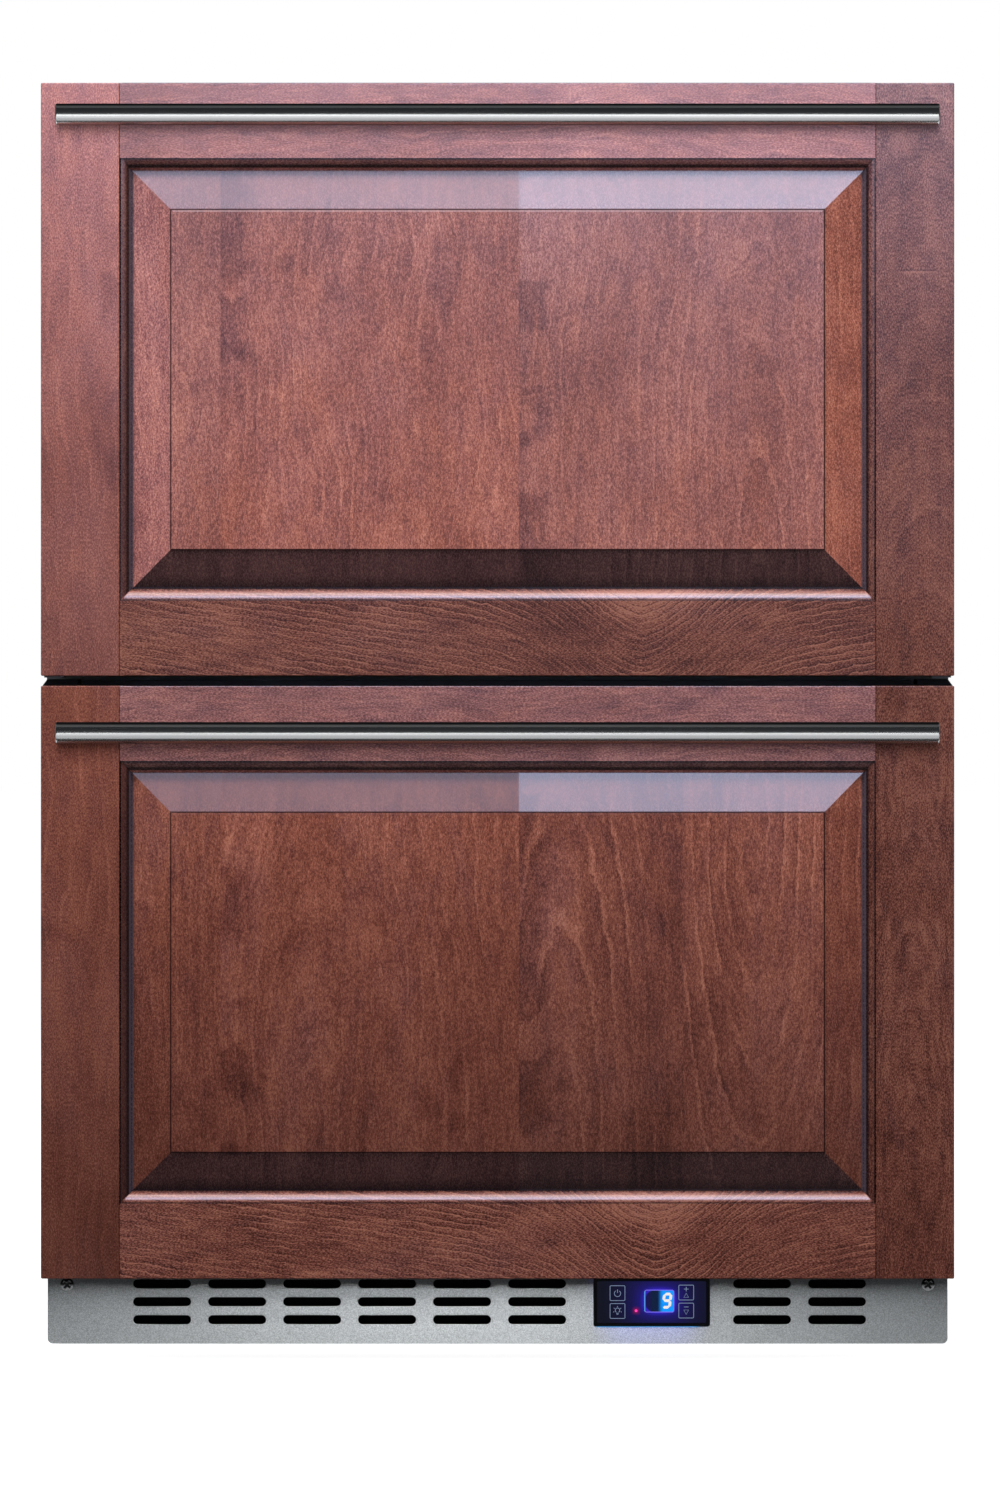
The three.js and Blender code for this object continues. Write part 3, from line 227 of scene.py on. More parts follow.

# %% [markdown]
# ## The boards
# A frame-and-panel front is two upright stiles, two rails between them and a raised panel that floats in
# their grooves. The grain runs along each board, so upright on the stiles and level on the rails, and the
# panel is glued up from upright boards, three above and four below. No two boards are alike, so each has
# its own numbers here: how light and rosy it is from its low or left end to the other, how it shines, and how
# it was cut. Lightness and rosiness are partly the stain and partly painted light: most boards are painted
# darker towards their low end, and rosier where a sheen would lie.

# %% Boards
HALF_WIDTH, HALF_HEIGHT = 300 * MM, 194.75 * MM
STILE_FLAT, RAIL_FLAT = 51.7 * MM, 49.4 * MM
BASE = {"upper": 451.5 * MM, "lower": 55.5 * MM}
GLUE_LINES = {"upper": (-182 * MM, 14 * MM), "lower": (-182 * MM, 14 * MM, 122 * MM)}
BOARDS = {
    # name: grain axis, tone at both ends with painted light, rosiness at both ends with painted sheen, gloss,
    #       (middle of the rings across and along the grain, their flatness),
    #       (strength of the rings, their sway, their number per metre),
    #       (contrast, strength of the fibres, 1 where the rings open into bowls)
    "upper_left_stile": ("z", 0.82, 1.52, 0.3, 0.7, 0.9, (-0.33, 0.05, 0.1), (0.2, 0.06, 90), (1.05, 0.25, 0)),
    "upper_right_stile": ("z", 0.6, 0.8, 0, 1, 0.85, (0.283, -0.06, 0.27), (0.22, 0.02, 150), (1.85, 0.22, 0)),
    "upper_top_rail": ("x", 1.16, 1.52, 0.5, 0.8, 1.25, (0.33, 0, 0.06), (0.2, 0.05, 120), (0.9, 0.75, 0)),
    "upper_bottom_rail": ("x", 0.66, 0.66, 0, 0, 1.1, (0.054, 0.095, 0.5), (1.15, 0.008, 210), (1.65, 0.66, 1)),
    "lower_left_stile": ("z", 0.44, 0.9, 0, 0.05, 0.5, (-0.33, 0.05, 0.1), (0.2, 0.06, 90), (1.05, 0.25, 0)),
    "lower_right_stile": ("z", 0.55, 0.6, 0, 0.05, 0.7, (0.272, -0.05, 0.08), (0.12, 0.02, 140), (1.7, 0.6, 0)),
    "lower_top_rail": ("x", 1.06, 1.18, 0.6, 0.75, 2.5, (0.33, 0, 0.06), (0.2, 0.05, 120), (1.1, 0.8, 0)),
    "lower_bottom_rail": ("x", 0.72, 0.72, 0, 0, 1, (0.052, 0.105, 0.5), (1.15, 0.008, 210), (1.7, 0.66, 1)),
    "upper_panel_a": ("z", 1.24, 1.04, 0.2, 0.6, 0.85, (-0.3, 0.05, 0.06), (0.15, 0.05, 110), (1.18, 0.4, 0)),
    "upper_panel_b": ("z", 1.38, 1.1, 0.1, 0.62, 0.8, (-0.21, 0.02, 0.08), (0.22, 0.06, 100), (1.18, 0.4, 0)),
    "upper_panel_c": ("z", 1.22, 1.1, 0.1, 0.68, 1.15, (0.169, 0.02, 0.13), (0.28, 0.03, 110), (1.18, 0.4, 0)),
    "lower_panel_a": ("z", 0.4, 1.1, 0, 0.1, 0.32, (-0.3, 0.05, 0.06), (0.15, 0.05, 110), (1.15, 0.42, 0)),
    "lower_panel_b": ("z", 0.37, 1.18, 0, 0.08, 0.3, (-0.12, 0.1, 0.2), (0.22, 0.05, 90), (1.15, 0.42, 0)),
    "lower_panel_c": ("z", 0.38, 1.17, 0, 0.08, 0.75, (0.042, -0.018, 0.12), (0.4, 0.02, 95), (1.15, 0.42, 0)),
    "lower_panel_d": ("z", 0.39, 1.24, 0, 0.08, 0.75, (0.168, 0.292, 0.2), (0.4, 0.02, 95), (1.15, 0.42, 0)),
}
SEED = {name: number for number, name in enumerate(BOARDS, 1)}
print("boards:", len(BOARDS))

# %% [markdown]
# ## Stained wood
# The fronts are maple or alder under a red-brown stain and a satin lacquer. Such wood has three scales of
# pattern: growth rings that draw nested arches where the board was cut flat, soft streaks and blotches
# where the stain went in unevenly, and short fine flecks along the grain. An image of a board would repeat
# and would blur close up, so all of it is worked out from these mesh attributes: `grain` is a point's place
# across and along the grain, `board` is tone with painted light, rosiness with painted sheen, and seed,
# `figure`, `rings` and `life` are the three groups of the table above, `bar` is the distance below and
# beyond the handle bar, and `door` is the place on the whole front, with the gloss.

# %% What each board tells its finish
WOOD_LAYERS = ("grain", "board", "figure", "rings", "life", "bar", "door")
wood = Finish("stained_wood")
grain, board, figure, rings, life, bar, door = (wood.attribute(name) for name in WOOD_LAYERS)
across, along, _ = wood.split(grain)
tone_and_light, rosy_and_sheen, seed = wood.split(board)
ring_across, ring_along, flatness = wood.split(figure)
ring_strength, ring_sway, ring_count = wood.split(rings)
contrast, fibre_weight, bowl = wood.split(life)
below_bar, beyond_bar, _ = wood.split(bar)
x, z, gloss = wood.split(door)
where = wood.vector("ADD", grain, wood.joined(seed * 0.37, seed * 1.91, seed * 0.73))

def on_board(name):
    """1 on one board, 0 on the others."""
    return wood.math("COMPARE", seed, SEED[name], 0.1)

print("wood layers:", WOOD_LAYERS)

# %% [markdown]
# ### Growth rings
# The rings are modelled as what they are. A ring is a cone round the tree's middle, and the board is a
# plane through it, so the ring number is a distance worked out from how far across and how far along the
# board a point lies. That gives long ovals on the face, each a slow darkening that ends in a thin light
# line. On a flat-sawn rail the rings open into bowls: near their middle they rise fast, far from it slowly.

# %% Growth rings
BOWL_REACH, BOWL_DEPTH, BOWL_SLOPE = 0.055, 0.045, 0.15
RING_STOPS = [(0.0, 0.50), (0.15, 0.50), (0.55, 0.42), (0.72, 0.28), (0.79, 0.26), (0.84, 1.0),
              (0.95, 0.88), (1.0, 0.50)]
sway = (wood.noise(where, (11, 6, 5)) - 0.5) * ring_sway
wobble = (wood.noise(where, (95, 75, 20), 4.0, 0.65) - 0.5) * 0.006
from_middle = across - ring_across + sway
off_middle = along - ring_along
from_top = off_middle * flatness
oval = wood.math("SQRT", from_middle * from_middle + from_top * from_top)
reach = off_middle / BOWL_REACH
bell = wood.math("EXPONENT", reach * reach * -1.0)
level = abs(off_middle) * BOWL_SLOPE - bell * BOWL_DEPTH - from_middle + BOWL_DEPTH
radius = oval + (level - oval) * bowl + wobble
line = wood.ramp(wood.math("FRACT", radius * ring_count), RING_STOPS)
fade = wood.stretch(wood.noise(where, (24, 9, 9)), 0.36, 0.62)
heart = wood.stretch(radius, 0.008, 0.036, 0.30, 0.0, smooth=True) * bowl
rings_drawn = ((line - 0.5) * fade + heart) * ring_strength
print("nodes so far:", len(wood.tree.nodes))

# %% [markdown]
# ### Stain
# Stain soaks in by the wood's own pattern: blotches and clouds, faint streaks, fibres that bend with the
# rings, flecks and dark pores, and dark patches to the right of a glue line. Each is one noise, scaled by
# how much it shows, and their sum picks the colour between a brown and a plum that the rosier places lean
# to. The rosiness is partly the stain and partly painted sheen, and the tone that scales the colour is
# partly painted light.

# %% Stain
PATCH_STOPS = [(0.17, 0.0), (0.24, 1.0), (0.52, 1.0), (0.55, 0.0), (0.59, 0.0), (0.62, 1.0), (1.0, 1.0)]
RUB_X, RUB_Z = 275.5 * MM, 71.2 * MM
RUB_STOPS = [(0.0, 0.5), (0.35, 0.62), (0.56, 0.95), (0.66, 0.5), (0.76, 0.12), (0.9, 0.5)]
REDDISH_X = 108 * MM
BROWN_STOPS = [(0.10, (0.070, 0.018, 0.013)), (0.42, (0.190, 0.056, 0.038)),
               (0.58, (0.285, 0.090, 0.060)), (0.90, (0.48, 0.190, 0.128))]
PLUM_STOPS = [(0.10, (0.068, 0.026, 0.034)), (0.42, (0.190, 0.074, 0.080)),
              (0.58, (0.290, 0.116, 0.116)), (0.90, (0.50, 0.235, 0.205))]
blotch = wood.noise(where, (15, 7, 8), 2.0, 0.5, 0.5)
cloud = wood.noise(where, (78, 30, 40), 4.0, 0.62, 0.4)
streak = wood.noise(where, (170, 5, 30), 2.0, 0.6)
fleck = wood.noise(where, (1450, 600, 900), 3.0, 0.8)
fibre = wood.noise(wood.joined(radius, along, seed), (640, 46, 1), 3.0, 0.66)
value = (blotch - 0.5) * 0.28
for part, weight in ((cloud, 0.37), (streak, 0.14), (fleck, 1.50), (fibre, fibre_weight)):
    value = value + (part - 0.5) * weight
value = value * contrast + 0.5 + rings_drawn

# Dark patches beside the glue lines. The upper panel's middle board has two long ones high up.
patch_width = wood.noise(where, (40, 60, 9), 3.0) * 0.034 + 0.006

def beside(line_x):
    past = x - line_x
    return wood.stretch(1.0 - past / patch_width, 0.0, 0.5) * (past > 0.0)

some = wood.stretch(wood.noise(where, (12, 21, 9), 2.0, 0.5, 0.8), 0.50, 0.56, smooth=True)
two = wood.ramp(wood.stretch((cloud - 0.5) * 0.030 + z, -0.02, 0.12), PATCH_STOPS)
some = some + (two - some) * on_board("upper_panel_b")
first_line, second_line = GLUE_LINES["upper"]
on_panel = seed > SEED["lower_bottom_rail"] + 0.5
patch = (beside(first_line) + beside(second_line)) * on_panel * some

# A short rub mark across the upper right stile, and a reddish band on one board.
rub = wood.ramp(wood.stretch(z + (fleck - 0.5) * 0.0012 - RUB_Z, -4 * MM, 2 * MM), RUB_STOPS)
rub = (rub - 0.5) * wood.stretch(abs(x - RUB_X), 10 * MM, 14.5 * MM, 0.75, 0.0)
value = value + rub * on_board("upper_right_stile")
reddish_band = wood.stretch(abs(x - REDDISH_X), 6 * MM, 30 * MM, 1.0, 0.0, smooth=True)
reddish_band = reddish_band * on_board("lower_panel_c")

dark_cloud = wood.stretch(wood.noise(where, (22, 11, 9), 3.0, 0.6, 1.2), 0.58, 0.70, smooth=True)
pore = wood.stretch(wood.noise(where, (1900, 620, 800), 1.0), 0.58, 0.68)
for part, weight in ((patch, 0.16), (dark_cloud, 0.10), (pore, 0.07), (reddish_band, 0.09)):
    value = value - part * weight
# Rosiness: partly stain, partly painted sheen. The tone that scales the colour below: partly painted light.
rosy_and_sheen_here = wood.math("ADD", rosy_and_sheen, (blotch - cloud) * 0.8, clamp=True)
stain = wood.mix(rosy_and_sheen_here, wood.ramp(value, BROWN_STOPS), wood.ramp(value, PLUM_STOPS))
colour = wood.scaled(stain, tone_and_light)
print("nodes so far:", len(wood.tree.nodes))

# %% [markdown]
# ### Glaze and painted shade in the grooves
# The maker wipes a dark glaze over the front, and it stays in the moulding, at the shoulder of the raised
# panel and in the joints of the frame; painted shade darkens the same grooves further. So their darkness
# follows one distance: how far in from the flats of the nearest stile or rail a point lies. The moulding is
# painted lighter on the right and at the bottom, where it would catch the light. Painted highlights run along
# the field's shoulder and the bottom moulding, and a painted blue-grey reflection lies beside the stiles.

# %% Glaze and painted shade
# Darkness of the glaze and painted shade, in millimetres in from the flats; the right and bottom mouldings are
# painted lighter where they would catch the light.
SHOULDER_GLAZE_AND_SHADE = [(33.0, 0.0), (33.3, 0.88), (33.9, 0.85), (34.3, 0.0)]
MOULDING_GLAZE_AND_SHADE = [(0.0, 0.90), (0.6, 0.92), (1.0, 0.68), (3.9, 0.72), (4.9, 0.92), (7.7, 0.95), (8.1, 0.15),
            (10.0, 0.0)]
MOULDING_GLAZE_AND_SHADE_RIGHT = [(place, dark * 0.30 if 0.9 < place < 4.0 else dark) for place, dark in MOULDING_GLAZE_AND_SHADE]
MOULDING_GLAZE_AND_SHADE_TOP = [(0.0, 0.90), (0.6, 0.92), (1.0, 0.64), (3.6, 0.70), (4.4, 0.92), (5.9, 0.95), (6.5, 0.20),
                (8.0, 0.0)]
MOULDING_GLAZE_AND_SHADE_BOTTOM = [(0.0, 0.65), (0.7, 0.65), (1.1, 0.0), (6.8, 0.0), (7.7, 0.45), (8.2, 0.97), (10.0, 0.60),
                   (17.0, 0.0)]
PROFILE_REACH, SHADE_REACH = 50, 20
from_stile = HALF_WIDTH - abs(x) - STILE_FLAT
from_rail = HALF_HEIGHT - abs(z) - RAIL_FLAT
inward = wood.math("MINIMUM", from_stile, from_rail)
beside_stile = from_stile < from_rail
beside_rail = 1.0 - beside_stile
at_bottom, at_top = (z < 0.0) * beside_rail, (z > 0.0) * beside_rail

def profile(distance, reach, stops):
    """A ramp over a distance, with its stops in millimetres up to reach."""
    return wood.ramp(distance / (reach * MM), [(place / reach, value) for place, value in stops])

def in_from_flats(*stops):
    return profile(inward, PROFILE_REACH, stops)

# Glaze with painted shade in the grooves and at the field's shoulder.
glaze_and_shade = in_from_flats(*MOULDING_GLAZE_AND_SHADE, *SHOULDER_GLAZE_AND_SHADE)
for amount, stops in ((at_bottom, MOULDING_GLAZE_AND_SHADE_BOTTOM), ((x > 0.0) * beside_stile, MOULDING_GLAZE_AND_SHADE_RIGHT),
                      (at_top, MOULDING_GLAZE_AND_SHADE_TOP)):
    glaze_and_shade = wood.mix(amount, glaze_and_shade, in_from_flats(*stops, *SHOULDER_GLAZE_AND_SHADE))
joint = wood.stretch(abs(from_stile), 0.0, 0.6 * MM, 0.45, 0.0) * (from_rail < 0.0)
glaze_shade_and_joints = wood.math("MAXIMUM", glaze_and_shade * (inward > -0.005 * MM), joint)

# Painted highlight: a light line along the field's shoulder, mostly at the top and on the upper front.
shoulder_highlight = in_from_flats((34.2, 0.0), (34.5, 0.7), (35.1, 0.5), (35.5, 0.0))
on_upper = seed < SEED["upper_panel_c"] + 0.5
shoulder_highlight = shoulder_highlight * (at_top * 0.96 + 0.04) * (on_upper * 0.50 + 0.06)
# Painted highlight: a light band along the bottom moulding.
bottom_moulding_highlight = in_from_flats((1.6, 0.0), (3.0, 0.28), (5.6, 0.28), (6.8, 0.0)) * at_bottom
# Painted reflection: a blue-grey strip in the moulding beside the stiles.
stile_side_reflection = in_from_flats((5.9, 0.0), (6.4, 0.8), (8.4, 0.8), (9.2, 0.0)) * beside_stile
for amount, tint in ((shoulder_highlight, (0.72, 0.54, 0.58)), (bottom_moulding_highlight, (0.86, 0.42, 0.38)),
                     (glaze_shade_and_joints, (0.012, 0.006, 0.008)), (stile_side_reflection, (0.085, 0.070, 0.095))):
    colour = wood.mix(amount, colour, tint)
print("nodes so far:", len(wood.tree.nodes))

# %% [markdown]
# ### Shade of the bar and satin lacquer
# The bar keeps the light off a strip of wood below it. The strip is drawn from the bar's place, since the
# softboxes alone would leave it too faint. The lacquer is a clear coat with a small relief from the flecks
# and streaks under it. It gathers in the moulding, so that is smoother.

# %% Shade and lacquer
shade = profile(below_bar, SHADE_REACH, [(6.2, 0.0), (7.0, 0.72), (9.5, 0.62), (11.5, 0.42), (14.0, 0.16),
                                         (18.5, 0.0)])
unshaded = 1.0 - shade * wood.stretch(beyond_bar, -1 * MM, 3 * MM, 1.0, 0.0)
off_shoulder_line = 1.0 - in_from_flats(*SHOULDER_GLAZE_AND_SHADE)
wood.set(Base_Color=wood.scaled(colour, unshaded), Specular_IOR_Level=gloss * 0.36 * (unshaded * off_shoulder_line),
         Roughness=wood.stretch(fleck, 0.3, 0.7, 0.24, 0.30), IOR=1.5)
on_moulding = in_from_flats((0.0, 0.0), (0.5, 1.0), (8.0, 1.0), (9.0, 0.0))
wood.bump((fleck * 0.7 + streak * 0.3) * (1.0 - on_moulding * 0.85), 0.1 * MM, 0.45)
print("wood nodes:", len(wood.tree.nodes))

# %% [markdown]
# ## Refining a CAD piece
# CAD gives the true shape as flat triangles with knife-sharp edges. Real edges are rounded by fractions of
# a millimetre, and that thin rounding is what catches the light. So each piece is made from its CAD solid:
# the triangles are joined back into whole faces, the sharp edges are rounded, and everything is shaded
# smooth except where two faces meet at a clear angle. A Bevel modifier could do part of this, but the
# packed mesh is split along every triangle, so it has to be joined up first.

# %% Refine helpers
WELD = 2e-6                # metres
remade = set()             # the CAD nodes that have a finished piece

def finish_mesh(bm, name, smooth_angle=35):
    """Turns bm into an object, smooth but for its clear edges."""
    bm.normal_update()
    for face in bm.faces:
        face.smooth = True
    for edge in bm.edges:
        if edge.is_manifold:
            edge.smooth = edge.calc_face_angle(0) < math.radians(smooth_angle)
    mesh = bpy.data.meshes.new(name)
    bm.to_mesh(mesh)
    bm.free()
    piece = add_object(name, mesh)
    weighted = piece.modifiers.new("flat faces stay flat", "WEIGHTED_NORMAL")
    weighted.keep_sharp = True
    weighted.weight = 80
    return piece

def round_edges(bm, width, segments=2, keep=lambda edge: True):
    """Rounds the sharp edges that keep(edge) allows."""
    sharp = [e for e in bm.edges if e.is_manifold and e.calc_face_angle(0) > math.radians(30)
             and e.calc_length() > width and keep(e)]
    bmesh.ops.bevel(bm, geom=sharp, offset=width, segments=segments, profile=0.5, affect="EDGES",
                    clamp_overlap=False, harden_normals=False)

def joined_solid(node):
    """The CAD node as a mesh of whole faces."""
    bm = bmesh.new()
    bm.from_mesh(nodes[node].data)
    for layer in list(bm.loops.layers.float_vector.values()):
        bm.loops.layers.float_vector.remove(layer)
    bmesh.ops.remove_doubles(bm, verts=bm.verts, dist=WELD)
    bmesh.ops.dissolve_limit(bm, angle_limit=math.radians(0.5), verts=bm.verts, edges=bm.edges)
    bmesh.ops.recalc_face_normals(bm, faces=bm.faces)
    return bm

def settle(piece, body, slot, finish, *replaced):
    """Gives a piece its finish and the body that it moves with."""
    piece.data.materials.clear()
    piece.data.materials.append(finish.material)
    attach(piece, body)
    if replaced:
        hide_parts(*replaced)
        remade.update(replaced)
    return piece

# %% [markdown]
# ## The wooden fronts
# The panel's mesh is cut where the glue lines are, so that each board has its own tone while the bevel runs
# on over the seam, as on the real panel. A bevel also looks lighter or darker by the side it faces, more than
# the lamps alone would make it, so each side gets painted light and shade: its own tone, shine and rosiness.

# %% Wooden fronts
SLOPING = 0.15             # part of the normal that makes a face count as turned to a side
BAR_SHADE_LIFT = {"upper": 3 * MM, "lower": 0.0}
BEVEL_LIGHT_AND_SHADE = {
    # painted light and shade by the side that the bevel faces: tone, shine and added rosiness
    "upper": {"down": (0.24, 1.7, 1), "up": (0.74, 1.1, 0), "left": (1.13, 1, 0.35),
              "right": (1.13, 0.65, 0)},
    "lower": {"down": (0.46, 2.6, 1), "up": (0.74, 1.1, 0), "left": (0.98, 1, 0), "right": (0.98, 0.65, 0)},
}
RIM_ROUNDING = 0.9 * MM
PANEL_ANGLE, FRAME_ANGLE = 8, 25   # degrees from which a meeting of faces stays crisp

def side_faced(normal):
    sides = {"down": -normal.z, "up": normal.z, "left": -normal.x, "right": normal.x}
    return next((side for side, part in sides.items() if part > SLOPING), "front")

def mark_boards(bm, drawer, board_of_face):
    """Writes the attributes that the wood reads."""
    base = BASE[drawer]
    bar_low, bar_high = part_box(f"{drawer}_handle")
    bar_height, bar_reach = (bar_low.z + bar_high.z) / 2, bar_high.x
    layers = [bm.loops.layers.float_vector.new(name) for name in WOOD_LAYERS]
    for face in bm.faces:
        name = board_of_face(face)
        run, tone_and_light_low, tone_and_light_high, rosy_and_sheen_low, rosy_and_sheen_high, gloss, figure, rings, life = BOARDS[name]
        side = side_faced(face.normal) if "panel" in name and face.normal.y < -0.5 else "front"
        # Painted light and shade by the side that a bevel faces: its tone, shine and added rosiness.
        facing_light_and_shade, shine, painted_rosier = BEVEL_LIGHT_AND_SHADE[drawer].get(side, (1.0, 1.0, 0.0))
        if side == "up":
            rings, life = (0.4 * rings[0], *rings[1:]), (0.5 * life[0], *life[1:])
        # Faces turned to the right get no rosiness, which is partly painted sheen.
        painted_sheen_side = 0.0 if face.normal.x > SLOPING else 1.0
        for corner in face.loops:
            x, y, z = corner.vert.co
            up = z - base
            share = up / (2 * HALF_HEIGHT) if run == "z" else (x + HALF_WIDTH) / (2 * HALF_WIDTH)
            # Tone is partly stain and partly painted light and shade; rosiness is partly stain and partly
            # painted sheen.
            tone_and_light = (tone_and_light_low + (tone_and_light_high - tone_and_light_low) * share) * facing_light_and_shade
            rosy_and_sheen = (rosy_and_sheen_low + (rosy_and_sheen_high - rosy_and_sheen_low) * share) * painted_sheen_side + painted_rosier
            grain = (x, up, y) if run == "z" else (up, x, y)
            bar = (bar_height + BAR_SHADE_LIFT[drawer] - z, abs(x) - bar_reach, 0)
            door = (x, up - HALF_HEIGHT, gloss * shine)
            values = (grain, (tone_and_light, rosy_and_sheen, SEED[name]), figure, rings, life, bar, door)
            for layer, value in zip(layers, values):
                corner[layer] = value

def wooden_piece(drawer, part):
    node, base = f"{drawer}_{part}", BASE[drawer]
    is_panel = part == "raised_panel"

    def on_rim(edge):
        """True for the front's outer edges."""
        places = [vert.co for vert in edge.verts]
        return all(HALF_WIDTH - abs(x) < 1e-5 or min(z - base, base + 2 * HALF_HEIGHT - z) < 1e-5
                   for x, _, z in places)

    def board_of_face(face):
        boards_before = sum(face.calc_center_median().x > line for line in GLUE_LINES[drawer])
        return f"{drawer}_panel_{'abcd'[boards_before]}" if is_panel else node

    bm = joined_solid(node)
    round_edges(bm, RIM_ROUNDING, 3, on_rim)
    for line in GLUE_LINES[drawer] if is_panel else ():
        whole = bm.verts[:] + bm.edges[:] + bm.faces[:]
        bmesh.ops.bisect_plane(bm, geom=whole, plane_co=(line, 0, 0), plane_no=(1, 0, 0))
    mark_boards(bm, drawer, board_of_face)
    name = node.replace("raised_panel", "panel_boards") + "_wood"
    piece = finish_mesh(bm, name, PANEL_ANGLE if is_panel else FRAME_ANGLE)
    return settle(piece, f"{drawer}_drawer", "stained_wood", wood, node)

wooden = [wooden_piece(drawer, part) for drawer in ("upper", "lower") for part in
          ("left_stile", "right_stile", "top_rail", "bottom_rail", "raised_panel")]
print("wooden pieces:", {piece.name: len(piece.data.polygons) for piece in wooden})

# %% [markdown]
# ## Brushed steel
# Stainless sheet is ground with a belt, which leaves fine lines along the grinding direction. Noise
# stretched more than a hundredfold makes them, in the colour, the roughness and a very shallow bump.
# The bars are painted dark along their tops and ends, a painted reflection of the unlit room above them. The
# toe kick has a fine even grain instead, and the blue light of the control on it is a painted glow in its
# finish.

# %% Brushed steel
PAINTED_SPILL_X = 101 * MM

def brushed_steel(name, colour, roughness, depth=0.03 * MM):
    """Steel ground along X."""
    r = Finish(name, Metallic=1.0)
    where = r.place()
    lines = r.noise(where, (30, 6000, 6000), 2.0, 0.7)
    bands = r.noise(where, (6, 900, 900), 2.0, 0.6)
    uneven = lines * 0.6 + r.noise(where, 14, 3.0) * 0.4
    r.set(Base_Color=r.mix(lines * 0.6 + bands * 0.4, times(colour, 0.86), times(colour, 1.08)),
          Roughness=r.stretch(uneven, 0.25, 0.75, roughness - 0.05, roughness + 0.06))
    r.bump(lines, depth, 0.6)
    return r

def bar_steel():
    r = brushed_steel("bar_steel", (0.66, 0.67, 0.68), 0.24, 0.004 * MM)
    x, _, z = r.split(r.normal())
    # Painted reflection: where the bar faces up, or out at its ends, it is dark and not metallic.
    bright = r.stretch(r.math("MAXIMUM", z, abs(x)), 0.50, 0.80, 1.0, 0.0)
    r.set(Metallic=bright, Base_Color=r.mix(bright, (0.02, 0.02, 0.022), r.given["Base_Color"]),
          Specular_Tint=(0.05, 0.05, 0.05), Specular_IOR_Level=0.0)
    return r

def toe_kick_steel():
    r = Finish("toe_kick_steel", Metallic=1.0)
    where = r.place()
    grain = r.noise(where, 1500, 2.0, 0.7)
    x, _, z = r.split(where)
    # Painted light: a faint blue glow on the steel just below the control.
    below = r.stretch(z, -8 * MM, 17 * MM)
    beside = r.stretch(abs(x - PAINTED_SPILL_X), 14 * MM, 44 * MM, 1.0, 0.0, smooth=True)
    r.set(Base_Color=r.mix(r.stretch(grain, 0.32, 0.68), (0.34, 0.36, 0.375), (0.78, 0.81, 0.83)),
          Roughness=r.stretch(r.noise(where, 18, 3.0), 0.3, 0.7, 0.34, 0.36),
          Emission_Color=(0.10, 0.11, 0.75), Emission_Strength=below * beside * 0.32)
    r.bump(grain, 0.012 * MM, 0.6)
    return r

BAR_STEEL, KICK_STEEL = bar_steel(), toe_kick_steel()
SHEET_STEEL = brushed_steel("sheet_steel", (0.47, 0.48, 0.49), 0.36)
RIVET_STEEL = brushed_steel("rivet_steel", (0.42, 0.43, 0.44), 0.24)
print("steel finishes:", [s.material.name for s in (BAR_STEEL, KICK_STEEL, SHEET_STEEL, RIVET_STEEL)])

# %% [markdown]
# ## Bar handles
# Each handle is a 14 mm bar held off the wood by two short posts. A lathe shape, a profile turned round an
# axis, gives the bar its softly rounded ends. The posts are turned as well, with a foot that flares
# slightly where it meets the wood.

# %% Lathe helpers and handles
ALONG_X = Matrix.Rotation(math.pi / 2, 4, "Y")
OUT_FRONT = Matrix.Rotation(math.pi / 2, 4, "X")   # the lathe's +Z turned to -Y
BAR_ROUNDING, BAR_STEPS = 1.3 * MM, 12
POST_RADIUS, POST_X = 4.4 * MM, 224 * MM

def turned(bm, outline, matrix, sides):
    """Adds a closed solid turned from (radius, height) points, placed by matrix."""
    rings = []
    for radius, height in outline:
        if radius < 1e-9:
            rings.append([bm.verts.new(matrix @ Vector((0, 0, height)))])
        else:
            turns = [2 * math.pi * k / sides for k in range(sides)]
            rings.append([bm.verts.new(matrix @ Vector((radius * math.cos(a), radius * math.sin(a), height)))
                          for a in turns])
    for lower, upper in zip(rings, rings[1:]):
        for k in range(sides):
            corners = [lower[k % len(lower)], lower[(k + 1) % len(lower)],
                       upper[(k + 1) % len(upper)], upper[k % len(upper)]]
            unique = list(dict.fromkeys(corners))
            if len(unique) > 2:
                bm.faces.new(unique)

def arc(x, z, radius, start, end, steps):
    """Points of an arc, its angles in degrees."""
    turns = [math.radians(start + (end - start) * k / steps) for k in range(steps + 1)]
    return [(x + radius * math.cos(a), z + radius * math.sin(a)) for a in turns]

def bar_handle(drawer):
    low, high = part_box(f"{drawer}_handle")
    radius, half = (high.z - low.z) / 2, (high.x - low.x) / 2
    middle = Vector((0, low.y + radius, (low.z + high.z) / 2))
    straight = half - BAR_ROUNDING
    end = arc(radius - BAR_ROUNDING, straight, BAR_ROUNDING, 0, 90, 6)
    outline = [(0, -half)] + [(r, -h) for r, h in reversed(end)]
    outline += [(radius, -straight + k * 2 * straight / BAR_STEPS) for k in range(1, BAR_STEPS)]
    outline += end + [(0, half)]
    bm = bmesh.new()
    turned(bm, outline, Matrix.Translation(middle) @ ALONG_X, 64)
    post_end = high.y - middle.y - 1 * MM
    foot_radius = POST_RADIUS + 0.3 * MM
    for x in (-POST_X, POST_X):
        place = Matrix.Translation((x, high.y, middle.z)) @ OUT_FRONT
        flare = [(0, 0), (foot_radius, 0), (foot_radius, 0.5 * MM), (POST_RADIUS, 0.8 * MM)]
        turned(bm, flare + [(POST_RADIUS, post_end), (0, post_end)], place, 32)
    bmesh.ops.recalc_face_normals(bm, faces=bm.faces)
    piece = finish_mesh(bm, f"{drawer}_bar_handle", 40)
    return settle(piece, f"{drawer}_drawer", "brushed_steel", BAR_STEEL, f"{drawer}_handle")

